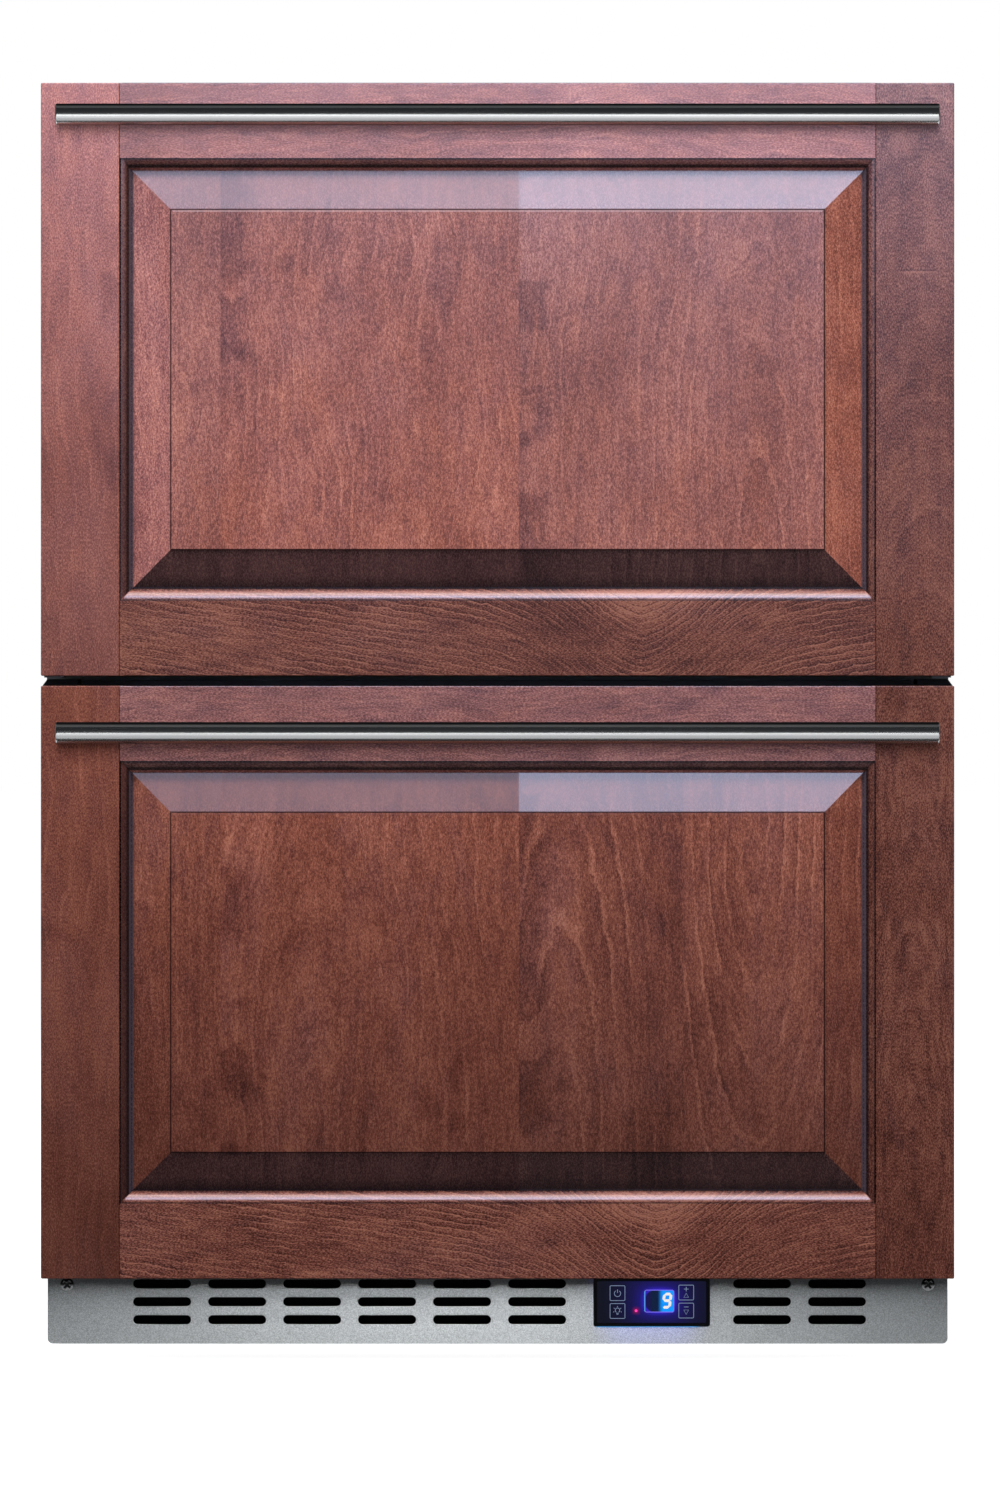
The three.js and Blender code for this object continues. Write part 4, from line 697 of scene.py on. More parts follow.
handles = [bar_handle(drawer) for drawer in ("upper", "lower")]
print("handles:", [[round(1000 * v, 1) for v in h.dimensions] for h in handles])

# %% [markdown]
# ## Toe kick
# The toe kick is one steel sheet: rows of slots let the air in, a window takes the control, and the lower
# edge is folded back into a hem. Blender's 2D curves fill an outline and leave out the shapes inside it,
# and their bevel rounds the punched edges, so a curve turned into a mesh is the quickest way to a clean
# slotted plate.

# %% Toe kick
SHEET, KICK_CORNER, HEM_SHORTER = 1.5 * MM, 3.5 * MM, 10 * MM
SLOT_LENGTH, SLOT_HEIGHT, SLOT_ROWS = 38.5 * MM, 6 * MM, (22 * MM, 34 * MM, 46 * MM)
SLOT_COLUMNS = [(-223.7 + 50 * k) * MM for k in range(10)]
CONTROL_X, NO_SLOTS = 102.6 * MM, 58 * MM
WINDOW_INSET = 2.7 * MM
SCREW_X, SCREW_Z, SCREW_HOLE = 287 * MM, 45.5 * MM, 4.6 * MM
NEARLY_ROUND = 0.01 * MM

def round_rectangle(x, z, wide, high, radius, steps):
    dx, dz = wide / 2 - radius, high / 2 - radius
    corners = ((x + dx, z - dz, -90), (x + dx, z + dz, 0), (x - dx, z + dz, 90), (x - dx, z - dz, 180))
    return [point for cx, cz, start in corners for point in arc(cx, cz, radius, start, start + 90, steps)]

def punched_plate(name, outlines, front, thickness, rounding):
    """A plate across Y, filled inside the first outline and open inside the others."""
    data = bpy.data.curves.new(name, "CURVE")
    data.dimensions = "2D"
    data.fill_mode = "BOTH"
    data.extrude = thickness / 2 - rounding
    data.bevel_depth = rounding
    data.bevel_resolution = 2
    data.offset = -rounding
    for outline in outlines:
        spline = data.splines.new("POLY")
        spline.points.add(len(outline) - 1)
        for point, (x, z) in zip(spline.points, outline):
            point.co = (x, z, 0, 1)
        spline.use_cyclic_u = True
    curve = add_object(name, data)
    mesh = bpy.data.meshes.new_from_object(curve)
    bpy.data.objects.remove(curve)
    bm = bmesh.new()
    bm.from_mesh(mesh)
    bpy.data.meshes.remove(mesh)
    bmesh.ops.remove_doubles(bm, verts=bm.verts, dist=1e-6)
    place = Matrix.Translation((0, front + thickness / 2, 0)) @ OUT_FRONT
    bmesh.ops.transform(bm, matrix=place, verts=bm.verts)
    bmesh.ops.recalc_face_normals(bm, faces=bm.faces)
    return bm

def block(bm, middle, size, turn=Matrix.Identity(4)):
    """Adds a box of this size round middle."""
    cube = bmesh.ops.create_cube(bm, size=1)["verts"]
    place = Matrix.Translation(middle) @ turn @ Matrix.Diagonal((*size, 1))
    bmesh.ops.transform(bm, matrix=place, verts=cube)

low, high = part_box("toe_kick_grille")
window_low, window_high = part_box("control_housing")
edge = [(low.x, high.z)] + arc(low.x + KICK_CORNER, low.z + KICK_CORNER, KICK_CORNER, 180, 270, 10)
edge += arc(high.x - KICK_CORNER, low.z + KICK_CORNER, KICK_CORNER, -90, 0, 10) + [(high.x, high.z)]
slots = [round_rectangle(x, z, SLOT_LENGTH, SLOT_HEIGHT, SLOT_HEIGHT / 2 - NEARLY_ROUND, 8)
         for x in SLOT_COLUMNS if abs(x - CONTROL_X) > NO_SLOTS for z in SLOT_ROWS]
window_middle = (window_low + window_high) / 2
window_size = window_high - window_low - Vector((2, 2, 2)) * WINDOW_INSET
window = round_rectangle(window_middle.x, window_middle.z, window_size.x, window_size.z, 1.5 * MM, 4)
holes = [round_rectangle(x, SCREW_Z, SCREW_HOLE, SCREW_HOLE, SCREW_HOLE / 2 - NEARLY_ROUND, 5)
         for x in (-SCREW_X, SCREW_X)]
bm = punched_plate("toe_kick", [edge, *slots, window, *holes], low.y, SHEET, 0.25 * MM)
hem_size = Vector((high.x - low.x - HEM_SHORTER, high.y - low.y - SHEET / 2, SHEET))
block(bm, (0, high.y - hem_size.y / 2, low.z + SHEET / 2), hem_size)
toe_kick = finish_mesh(bm, "slotted_toe_kick", 40)
settle(toe_kick, "cabinet", "brushed_steel", KICK_STEEL, "toe_kick_grille")
print("toe kick:", len(slots), "slots,", len(toe_kick.data.polygons), "faces")

# %% [markdown]
# ## Dust filter and painted shade
# Nothing shows through the slots but black, so a thin black foam sheet, shaped as a dust filter, stands behind
# them as painted shade, one piece on each side of the control. Its face is slightly uneven, as cut foam is.

# %% Dust filter and painted shade
FILTER_Y, FILTER_Z, FILTER_THICK, FILTER_HIGH = -194, 34, 4, 38      # millimetres
FILTER_WAVE = 0.5 * MM

def foam_finish():
    r = Finish("shade_filter_foam", Roughness=0.9, Specular_IOR_Level=0.1)
    pores = r.cells(r.place(), 900.0, "Distance")
    r.set(Base_Color=r.mix(r.stretch(pores, 0.1, 0.6), (0.001, 0.001, 0.001), (0.007, 0.007, 0.008)))
    r.bump(pores, 0.4 * MM, 0.6)
    return r

SHADE_FILTER_FOAM = foam_finish()
# Painted shade: black foam sheets behind the slots, where the inside would lie in shade.
for side, left, right in (("left", -262, 56), ("right", 149, 262)):
    bm = bmesh.new()
    block(bm, Vector(((left + right) / 2, FILTER_Y, FILTER_Z)) * MM,
          Vector((right - left, FILTER_THICK, FILTER_HIGH)) * MM)
    bmesh.ops.subdivide_edges(bm, edges=bm.edges[:], cuts=5, use_grid_fill=True)
    for vert in bm.verts:
        vert.co.y += FILTER_WAVE * math.sin(90 * vert.co.x + 200 * vert.co.z)
    piece = settle(finish_mesh(bm, f"{side}_shade_filter"), "cabinet", "dark_plastic", SHADE_FILTER_FOAM)
    print(piece.name, len(piece.data.polygons), "faces")

# %% [markdown]
# ## Screws with a cross recess
# Two pan-head screws hold the toe kick. The head is turned, and the recess is a real cut made with a
# Boolean, so that it goes dark inside from any side. Its walls get a near-black finish of their own as painted
# shade, and the upper half of each head is painted dark, a painted reflection of the dark underside of the
# front.
# The machine cover at the back is held by eight domed rivets, turned from the same dome.

# %% Screws and rivets
HEAD_RADIUS, HEAD_HEIGHT, HEAD_RIM = 4.55 * MM, 2.4 * MM, 0.8 * MM
SHANK_RADIUS, SHANK_LENGTH = 2 * MM, 10 * MM
CROSS_BAR = (5.6 * MM, 3.4 * MM, 1.5 * MM)
RECESS_RADIUS, RECESS_WALL = 3 * MM, 1.2 * MM
RIVET_RADIUS, RIVET_HEIGHT = 4.2 * MM, 1.7 * MM
RIVETS_X, RIVETS_Z = (-288 * MM, -96 * MM, 96 * MM, 288 * MM), (22 * MM, 253 * MM)

def screw_steel():
    r = Finish("screw_steel", Metallic=1.0)
    _, _, up = r.split(r.normal())
    grain = r.noise(r.place(), 900)
    bright = r.mix(grain, (0.34, 0.35, 0.36), (0.46, 0.47, 0.48))
    # Painted reflection: the head is nearly black where it faces up.
    r.set(Base_Color=r.mix(r.stretch(up, -0.20, 0.12, smooth=True), bright, (0.012, 0.013, 0.014)),
          Roughness=r.stretch(grain, 0.3, 0.7, 0.22, 0.30))
    return r

# Painted shade: a near-black finish for the walls of the cross recess.
def recess_shade_black():
    r = Finish("recess_shade_black", Roughness=0.55)
    r.set(Base_Color=r.mix(r.noise(r.place(), 1400), (0.002, 0.002, 0.003), (0.006, 0.006, 0.007)))
    return r

SCREW_STEEL, RECESS_SHADE = screw_steel(), recess_shade_black()

def dome(radius, rise, steps, base=0.0):
    """A lathe outline from the rim of a dome to its top."""
    turns = [math.pi / 2 * k / steps for k in range(steps, -1, -1)]
    return [(radius * math.sin(a), base + rise * math.cos(a)) for a in turns]

def toe_screw(node, lean):
    low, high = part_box(node)
    x, z = (low.x + high.x) / 2, (low.z + high.z) / 2
    bm = bmesh.new()
    outline = [(0, -SHANK_LENGTH), (SHANK_RADIUS, -SHANK_LENGTH), (SHANK_RADIUS, 0), (HEAD_RADIUS, 0)]
    outline += dome(HEAD_RADIUS, HEAD_HEIGHT - HEAD_RIM, 10, HEAD_RIM)
    turned(bm, outline, Matrix.Translation((x, low.y + HEAD_HEIGHT, z)) @ OUT_FRONT, 40)
    bmesh.ops.recalc_face_normals(bm, faces=bm.faces)
    screw = finish_mesh(bm, node + "_cross", 40)
    bm = bmesh.new()
    for turn in (lean, lean + math.pi / 2):
        block(bm, (x, low.y, z), CROSS_BAR, Matrix.Rotation(turn, 4, "Y"))
    cutter = finish_mesh(bm, "cross_cutter")
    boolean = screw.modifiers.new("cross", "BOOLEAN")
    boolean.object = cutter
    boolean.operation = "DIFFERENCE"
    boolean.use_self = True
    cut = bpy.data.meshes.new_from_object(screw.evaluated_get(bpy.context.evaluated_depsgraph_get()))
    screw.modifiers.clear()
    screw.data = cut
    bpy.data.objects.remove(cutter)
    settle(screw, "cabinet", "brushed_steel", SCREW_STEEL, node)
    # The recess walls get the painted shade.
    cut.materials.append(RECESS_SHADE.material)
    for face in cut.polygons:
        depth, radius = face.center.y - low.y, math.hypot(face.center.x - x, face.center.z - z)
        is_wall = abs(face.normal.y) < 0.3 or depth > RECESS_WALL
        face.material_index = int(radius < RECESS_RADIUS and depth < HEAD_HEIGHT and is_wall)
    print(node, "faces:", len(cut.polygons), "in the recess:", sum(f.material_index for f in cut.polygons))
    return screw

screws = [toe_screw("left_toe_screw", math.radians(40)), toe_screw("right_toe_screw", math.radians(52))]

bm = bmesh.new()
for x in RIVETS_X:
    for z in RIVETS_Z:
        seat = Matrix.Translation((x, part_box("machine_cover")[1].y, z)) @ OUT_FRONT.inverted()
        turned(bm, dome(RIVET_RADIUS, RIVET_HEIGHT, 8), seat, 28)
settle(finish_mesh(bm, "cover_rivets", 50), "cabinet", "brushed_steel", RIVET_STEEL)

# %% [markdown]
# ## The touch control
# A smoked window shows a display and four touch keys: power, lamp, warmer and colder. The real outlines are
# printed on the back of the window and lit faintly. Here they are thin flat ribbons just before its face,
# because a ribbon keeps one line width round every corner, where a picture on the glass would blur.

# %% Ribbons and patches on the window
PRINT_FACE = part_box("control_lens")[0].y - 0.02 * MM

def ribbon(bm, points, width, closed=True):
    """A flat line of even width through points (x, z), given in millimetres."""
    count = len(points)
    sides = []
    for i, (x, z) in enumerate(points):
        before = points[i - 1] if closed or i else points[i]
        after = points[(i + 1) % count] if closed or i < count - 1 else points[i]
        dx, dz = after[0] - before[0], after[1] - before[1]
        scale = width / 2 / math.hypot(dx, dz)
        sides.append([bm.verts.new(((x + k * dz * scale) * MM, PRINT_FACE, (z - k * dx * scale) * MM))
                      for k in (-1, 1)])
    for i in range(count if closed else count - 1):
        (a, b), (c, d) = sides[i], sides[(i + 1) % count]
        bm.faces.new((a, c, d, b))

def patch(bm, points, forward):
    bm.faces.new([bm.verts.new((x * MM, PRINT_FACE - forward * MM, z * MM)) for x, z in points])

def lit(name, colour, strength):
    """A print or display lit from behind, not quite evenly."""
    r = Finish(name, Roughness=0.3, Base_Color=times(colour, 0.2), Emission_Color=colour)
    r.set(Emission_Strength=r.stretch(r.noise(r.place(), 700), 0.3, 0.7, strength * 0.88, strength * 1.12))
    return r

def in_window(bm, name, finish):
    settle(finish_mesh(bm, name), "cabinet", "smoked_window", finish)

# %% [markdown]
# ### Keys and symbols
# Each key is a rounded square with a symbol in it, in lines of one width: a broken ring with a bar, a lamp
# with rays, and arrowheads under a plus and a minus.

# %% Keys and symbols
LINE, KEY_SIZE = 0.40, 9.9
RAYS = [[(reach * math.cos(a), 0.3 + reach * math.sin(a)) for reach in (2.2, 3.0)]
        for a in map(math.radians, (-20, 35, 90, 145, 200))]
KEYS = {
    # key: its middle, then open lines and closed lines from there, in millimetres
    "power": ((79.9, 39.9), [arc(0, -0.2, 2.1, 125, 415, 23), [(0, 0.2), (0, 2.5)]], []),
    "lamp": ((79.9, 28.0), [arc(0, 0.5, 1.5, -60, 240, 19), [(-0.8, -1.5), (0.8, -1.5)],
                            [(-0.6, -2.2), (0.6, -2.2)], *RAYS], []),
    "warmer": ((125.7, 40.3), [[(-1.5, 2.3), (1.5, 2.3)], [(0, 0.8), (0, 3.8)]],
               [[(-1.6, -3.2), (1.6, -3.2), (0, -0.4)]]),
    "colder": ((125.7, 28.3), [[(-1.5, 2.4), (1.5, 2.4)]], [[(-1.6, 0.4), (0, -2.6), (1.6, 0.4)]]),
}
bm = bmesh.new()
for (x, z), open_lines, closed_lines in KEYS.values():
    ribbon(bm, round_rectangle(x, z, KEY_SIZE, KEY_SIZE, 0.7, 4), LINE)
    for lines, closed in ((open_lines, False), (closed_lines, True)):
        for points in lines:
            ribbon(bm, [(x + dx, z + dz) for dx, dz in points], LINE, closed)
in_window(bm, "key_prints", lit("key_print", (0.50, 0.66, 1.0), 0.36))

# %% [markdown]
# ### Display
# The display is a lit frame with a backlight that fades out to the left. It shows one digit made of slanted
# segments, so a digit is a choice of bars out of seven. A red light stands beside it, and under the bezel a
# blue strip glows as painted light; the light it would throw on the toe kick is painted into the toe kick's
# finish.

# %% Display
DISPLAY, STATUS = (107.8, 34.6), (92.3, 28.2)      # their middles in millimetres

def fading(finish, left, right, left_colour, right_colour, smooth=False):
    """Changes what a lit finish sends out, from left to right in millimetres."""
    x, _, _ = finish.split(finish.place())
    share = finish.stretch(x, left * MM, right * MM, smooth=smooth)
    finish.set(Emission_Color=finish.mix(share, left_colour, right_colour))

bm = bmesh.new()
ribbon(bm, round_rectangle(*DISPLAY, 19.4, 14.6, 1.3, 6), 0.6)
frame_light = lit("display_frame_light", (0.25, 0.30, 1.0), 0.75)
fading(frame_light, 97.9, 98.6, (0.10, 0.60, 1.0), (0.22, 0.17, 1.0))
in_window(bm, "display_frame", frame_light)

bm = bmesh.new()
patch(bm, [(102, 27.6), (117.2, 27.6), (117.2, 41.6), (102, 41.6)], -0.005)
backlight = lit("display_backlight", (0.0, 0.3, 1.0), 1.0)
fading(backlight, 106.5, 110.5, (0.003, 0.004, 0.022), (0.004, 0.30, 1.0), smooth=True)
in_window(bm, "display_backlight", backlight)

SEGMENT_WIDTH, SEGMENT_LEAN, SEGMENT_GAP = 1.85, 0.13, 0.1
left, right, low, high = 110.1, 114.5, 30.5, 39.3
middle = (low + high) / 2
NINE = [((left, high), (right, high)), ((right, high), (right, middle)), ((right, middle), (right, low)),
        ((left, low), (right, low)), ((left, middle), (left, high)), ((left, middle), (right, middle))]
bm = bmesh.new()
for (x0, z0), (x1, z1) in NINE:
    length = math.hypot(x1 - x0, z1 - z0)
    ux, uz = (x1 - x0) / length, (z1 - z0) / length
    half = SEGMENT_WIDTH / 2
    pointed_bar = [(SEGMENT_GAP, 0), (half, half), (length - half, half), (length - SEGMENT_GAP, 0),
                   (length - half, -half), (half, -half)]
    points = [(x0 + ux * a - uz * b, z0 + uz * a + ux * b) for a, b in pointed_bar]
    patch(bm, [(x + SEGMENT_LEAN * (z - low), z) for x, z in points], 0.01)
in_window(bm, "digit_nine", lit("digit_light", (1.0, 0.93, 0.86), 0.86))

bm = bmesh.new()
patch(bm, arc(*STATUS, 0.85, 0, 360, 28)[:-1], 0.01)
in_window(bm, "status_light", lit("status_red", (1.0, 0.04, 0.32), 1.5))

# Painted light: a thin strip under the bezel that glows blue.
bm = bmesh.new()
block(bm, Vector((100, -211.9, 17.45)) * MM, Vector((68, 1.2, 0.4)) * MM)
in_window(bm, "light_under_bezel", lit("bezel_light", (0.10, 0.45, 1.0), 0.8))

# %% [markdown]
# ### Smoked window
# The window is nearly black glass. The lights leave a blue glow round the display and a red one round the
# status light. A real glow is light scattered in the glass. It is drawn instead, as rings of a
# rounded distance, because scattering takes long to render clean.

# %% Smoked window
GLOW_REACH = 4.0           # in half widths of the light
BLUE_STOPS = [(0.0, 0.04), (0.22, 0.10), (0.245, 0.9), (0.275, 0.42), (0.33, 0.19), (0.45, 0.085),
              (0.62, 0.034), (0.85, 0.008), (1.0, 0.0)]
RED_STOPS = [(0.0, 1.0), (0.3, 0.5), (0.6, 0.12), (0.9, 0.0)]

def smoked_window():
    r = Finish("smoked_window", Roughness=0.12, Emission_Strength=1.0)
    x, _, z = r.split(r.place())

    def halo(middle_x, middle_z, wide, high, stops):
        """Rings round a light, which is given in millimetres with its half width and half height."""
        dx, dz = (x - middle_x * MM) / (wide * MM), (z - middle_z * MM) / (high * MM)
        return r.ramp((abs(dx) ** 3.0 + abs(dz) ** 3.0) ** (1 / 3) / GLOW_REACH, stops)

    blue = r.mix(halo(*DISPLAY, 10.2, 7.8, BLUE_STOPS), (0.006, 0.0065, 0.013), (0.045, 0.022, 0.70))
    r.set(Base_Color=r.mix(r.noise(r.place(), 60, 3.0), (0.003, 0.004, 0.007), (0.006, 0.007, 0.013)),
          Emission_Color=r.mix(halo(*STATUS, 0.9, 0.9, RED_STOPS), blue, (0.35, 0.01, 0.10)))
    return r

SMOKED_WINDOW = smoked_window()
print("window nodes:", len(SMOKED_WINDOW.tree.nodes))

# %% [markdown]
# ## Plain finishes
# The rest of the appliance is powder-coated steel, galvanised sheet, moulded plastic, rubber and bare
# metal. None of them is one flat colour: powder coat has a faint orange-peel surface, zinc crystallises
# into spangles, moulded plastic is slightly mottled and very finely grained, and rubber is dusty where it
# is matt.

# %% Plain finishes
def moulded(name, colour, roughness, grain, depth, variation):
    """Plastic, paint or rubber: mottled a little, with a fine grain of this depth in millimetres."""
    r = Finish(name)
    where = r.place()
    fine = r.noise(where, grain, 2.0, 0.6)
    dark, light = times(colour, 1 - variation), times(colour, 1 + variation)
    r.set(Base_Color=r.mix(r.noise(where, 22, 3.0), dark, light),
          Roughness=r.stretch(fine, 0.3, 0.7, roughness - 0.05, roughness + 0.05))
    r.bump(fine, depth * MM, 0.5)
    return r

def galvanised(name, colour):
    r = Finish(name, Metallic=0.9)
    where = r.place()
    grey, _, _ = r.split(r.cells(r.vector("ADD", where, r.noise(where, 60)), 90.0, "Color"))
    r.set(Base_Color=r.mix(grey, times(colour, 0.8), times(colour, 1.12)),
          Roughness=r.stretch(grey, 0.0, 1.0, 0.36, 0.56))
    r.bump(r.noise(where, 400), 0.03 * MM, 0.4)
    return r

def bare_metal(name, colour, roughness):
    r = Finish(name, Metallic=1.0)
    where = r.place()
    r.set(Base_Color=r.mix(r.noise(where, 45, 4.0, 0.6), times(colour, 0.72), colour),
          Roughness=r.stretch(r.noise(where, 1500), 0.3, 0.7, roughness - 0.06, roughness + 0.10))
    return r

def circuit_board():
    r = Finish("circuit_board", Roughness=0.4)
    tracks = r.cells(r.vector("MULTIPLY", r.place(), (1.0, 1.0, 2.2)), 260.0, "Distance")
    tracks = r.stretch(tracks, 0.30, 0.36)
    r.set(Base_Color=r.mix(tracks, (0.012, 0.085, 0.035), (0.03, 0.17, 0.07)))
    r.bump(tracks, 0.03 * MM, 0.5)
    return r

FINISHES = {
    # slot: rounding of its edges in millimetres, finish
    "brushed_steel": (0.25, SHEET_STEEL),
    "painted_steel": (0.3, moulded("powder_coat", (0.035, 0.037, 0.040), 0.42, 700, 0.06, 0.10)),
    "galvanised_steel": (0.15, galvanised("zinc_sheet", (0.47, 0.49, 0.51))),
    "cap_plastic": (0.35, moulded("cap_plastic", (0.012, 0.013, 0.014), 0.60, 1500, 0.10, 0.12)),
    "dark_plastic": (0.3, moulded("black_plastic", (0.014, 0.015, 0.017), 0.42, 1300, 0.05, 0.12)),
    "black_enamel": (0.4, moulded("black_enamel", (0.016, 0.016, 0.018), 0.22, 120, 0.05, 0.15)),
    "white_plastic": (0.5, moulded("white_plastic", (0.80, 0.81, 0.81), 0.34, 500, 0.03, 0.02)),
    "foam": (0.3, moulded("foam", (0.66, 0.52, 0.27), 0.85, 350, 0.6, 0.12)),
    "gasket_rubber": (0.8, moulded("seal_rubber", (0.10, 0.102, 0.105), 0.6, 1600, 0.06, 0.10)),
    "foot_rubber": (0.5, moulded("foot_rubber", (0.022, 0.022, 0.024), 0.62, 900, 0.10, 0.15)),
    "copper": (0.05, bare_metal("copper_tube", (0.72, 0.34, 0.19), 0.30)),
    "aluminium": (0.05, bare_metal("aluminium_fins", (0.70, 0.71, 0.72), 0.38)),
    "circuit_board": (0.1, circuit_board()),
    "smoked_window": (0.15, SMOKED_WINDOW),
}
print("finishes:", sorted(FINISHES))

# %% [markdown]
# ## Every other CAD piece
# What is left keeps its CAD shape and only gets softer edges. How much an edge is rounded depends on how it
# is made: folded sheet is tight, moulded plastic is rounder.

# %% Refine the rest
body_of = {n: body for body, members in frame["record"]["behaviour"]["bodies"].items() for n in members}
slot_of = {s["node"]: s["material_slot"] for s in frame["record"]["subparts"]}
left_over = sorted(set(nodes) - remade)
for node in left_over:
    rounding, finish = FINISHES[slot_of[node]]
    bm = joined_solid(node)
    round_edges(bm, rounding * MM)
    settle(finish_mesh(bm, node + "_finished"), body_of[node], slot_of[node], finish, node)
print("refined:", len(left_over), "pieces")

# %% [markdown]
# ## Stage
# The floor is plain and pale, and the background is white. To the camera, gloss and glass both look
# brighter than the light they give, so the picture gets its white ground and the front keeps its shadows.
# The room in front of the appliance is dark, as in a studio, so that the bars have a dark upper half:
# sheets that only gloss sees stand for it.

# %% Stage
ROOM_NEAR, ROOM_FAR, ROOM_BACK, ROOM_SIDE, ROOM_TOP = -0.45, -8, 3, 7, 5
ROOM_FLOOR_EDGE, JUST_ABOVE = -0.22, 0.001

def pale_floor():
    r = Recipe(bpy.data.materials.new("pale_floor"))
    matt = r.node("ShaderNodeBsdfDiffuse", {"Color": (0.42, 0.42, 0.42)})
    glow = r.node("ShaderNodeEmission", {"Color": (1, 1, 1), "Strength": r.seen() * 0.90})
    r.end("ShaderNodeOutputMaterial", r.node("ShaderNodeAddShader", (matt, glow)))
    return r.owner

def dark_room():
    r = Recipe(bpy.data.materials.new("dark_room"))
    glow = r.node("ShaderNodeEmission", {"Color": (0.9, 0.95, 1.0), "Strength": 0.03})
    r.end("ShaderNodeOutputMaterial", glow)
    return r.owner

def stage_sheet(name, low, high, material):
    """A level or upright sheet between two opposite corners."""
    (x0, y0, z0), (x1, y1, z1) = low, high
    if z0 == z1:
        corners = [(x0, y0, z0), (x1, y0, z0), (x1, y1, z0), (x0, y1, z0)]
    else:
        corners = [(x0, y0, z0), (x1, y1, z0), (x1, y1, z1), (x0, y0, z1)]
    mesh = bpy.data.meshes.new(name)
    mesh.from_pydata(corners, [], [(0, 1, 2, 3)])
    mesh.materials.append(material)
    piece = add_object(name, mesh)
    return piece

stage_sheet("floor", (-20, -20, 0), (20, 20, 0), pale_floor())
ROOM = {
    "room_front": ((-ROOM_SIDE, ROOM_FAR, 0), (ROOM_SIDE, ROOM_FAR, ROOM_TOP)),
    "room_ceiling": ((-ROOM_SIDE, ROOM_FAR, ROOM_TOP), (ROOM_SIDE, ROOM_BACK, ROOM_TOP)),
    "room_left": ((-ROOM_SIDE, ROOM_FAR, 0), (-ROOM_SIDE, ROOM_NEAR, ROOM_TOP)),
    "room_right": ((ROOM_SIDE, ROOM_FAR, 0), (ROOM_SIDE, ROOM_NEAR, ROOM_TOP)),
    "room_floor": ((-ROOM_SIDE, ROOM_FAR, JUST_ABOVE), (ROOM_SIDE, ROOM_FLOOR_EDGE, JUST_ABOVE)),
}
room_material = dark_room()
for name, (low, high) in ROOM.items():
    side = stage_sheet(name, low, high, room_material)
    side.visible_camera = side.visible_diffuse = side.visible_transmission = side.visible_shadow = False

world = bpy.data.worlds.new("world")
bpy.context.scene.world = world
sky = Recipe(world)
backdrop = {"Color": (1, 1, 1), "Strength": sky.stretch(sky.seen(), 0.0, 1.0, 0.24, 1.0)}
sky.end("ShaderNodeOutputWorld", sky.node("ShaderNodeBackground", backdrop))
bpy.context.scene.view_settings.view_transform = "Standard"
print("stage sheets:", 1 + len(ROOM))

# %% [markdown]
# ## Light
# A long softbox hangs in front of the appliance and above it: the lacquer throws it back from the sloping
# top of each raised panel and from the moulding under it. The bars, the toe kick and the screws are
# mirrors, which show whatever stands before them, so each gets reflector cards of its own, and light
# linking keeps every lamp to the pieces it is meant for.

# %% Lamps
def softbox(name, place, aim, width, height, radiance, colour=(1, 1, 1)):
    """A rectangular lamp that the camera doesn't see."""
    data = bpy.data.lights.new(name, "AREA")
    data.shape = "RECTANGLE"
    data.size, data.size_y = width, height
    data.energy = radiance * math.pi * width * height
    data.color = colour
    lamp = add_object(name, data)
    lamp.location = place
    lamp.rotation_euler = (Vector(aim) - Vector(place)).to_track_quat("-Z", "Y").to_euler()
    lamp.visible_camera = False
    return lamp

def link_light(lamp, role, name, pieces, state):
    """Picks what the lamp lights (role receiver) or what stands in its light (role blocker)."""
    group = bpy.data.collections.new(name)
    for piece in pieces:
        group.objects.link(piece)
    setattr(lamp.light_linking, role + "_collection", group)
    for entry in group.collection_objects:
        entry.light_linking.link_state = state

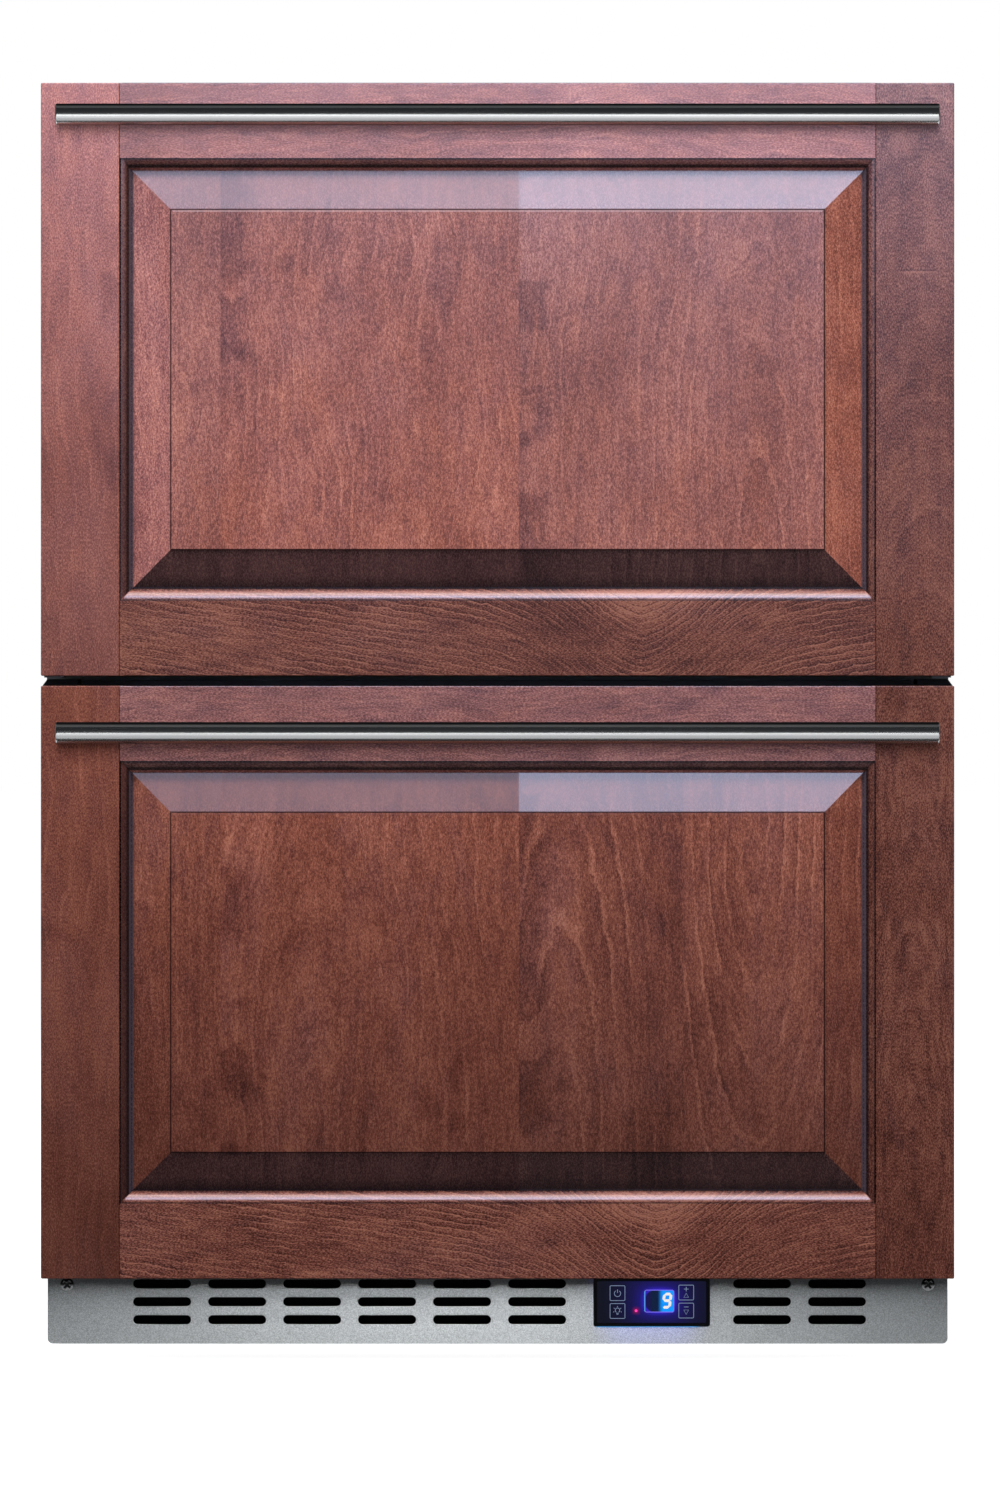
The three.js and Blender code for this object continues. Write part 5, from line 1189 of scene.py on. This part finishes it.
key = softbox("key_softbox", (-0.25, -1.25, 2.15), (0, -0.28, 0.70), 1.7, 0.7, 12.0)
front = softbox("front_softbox", (-0.15, -3.0, 1.45), (0, -0.28, 0.55), 0.8, 0.35, 17.0)
sheen = softbox("sheen_strip", (0.22, -1.95, 1.50), (0, -0.28, 0.50), 1.6, 0.80, 20.0, (0.53, 0.69, 1.0))
back = softbox("back_softbox", (0, 3.2, 2.2), (0, 0, 0.4), 3.0, 1.6, 3.0)
left = softbox("left_softbox", (-3.2, 0.4, 1.7), (0, 0.1, 0.4), 2.0, 1.6, 2.0)
right = softbox("right_softbox", (3.2, 0.4, 1.7), (0, 0.1, 0.4), 2.0, 1.6, 2.0)
for lamp in (front, back, left, right):
    lamp.visible_glossy = False
sheen.visible_diffuse = False
for lamp, name in ((key, "not_the_bars"), (front, "front_not_the_bars"), (back, "not_the_bars_from_behind")):
    link_light(lamp, "receiver", name, handles, "EXCLUDE")
link_light(key, "blocker", "key_passes_the_bars", handles, "EXCLUDE")
link_light(sheen, "receiver", "only_the_lacquer", wooden, "INCLUDE")
frame_pieces = [piece for piece in wooden if "panel" not in piece.name]
link_light(sheen, "blocker", "sheen_passes_bars_and_frame", handles + frame_pieces, "EXCLUDE")

# %% Reflector cards
CARDS = [
    # name, middle, aim, width, height, radiance, the pieces it is for
    ("bar_card_far", (0, -5.15, 0.01), (0, -5.15, 2), 3.2, 5.7, 1.9, handles),
    ("bar_card_middle", (0, -1.7, 0.01), (0, -1.7, 2), 3.2, 1.2, 0.95, handles),
    ("bar_card_near", (0, -0.8, 0.01), (0, -0.8, 2), 3.2, 0.6, 0.62, handles),
    ("kick_spot", (-0.03, -1.25, 0.379), (0, -0.2, 0.02), 0.11, 0.42, 49.0, [toe_kick]),
    ("kick_wide", (0, -1.25, 0.20), (0, -0.2, 0.02), 2.6, 0.30, 0.10, [toe_kick]),
    ("screw_card", (0, -0.34, 0.002), (0, -0.34, 2), 0.9, 0.22, 0.40, screws),
]
for name, *card, pieces in CARDS:
    link_light(softbox(name, *card), "receiver", "only_for_" + name, pieces, "INCLUDE")

# %% [markdown]
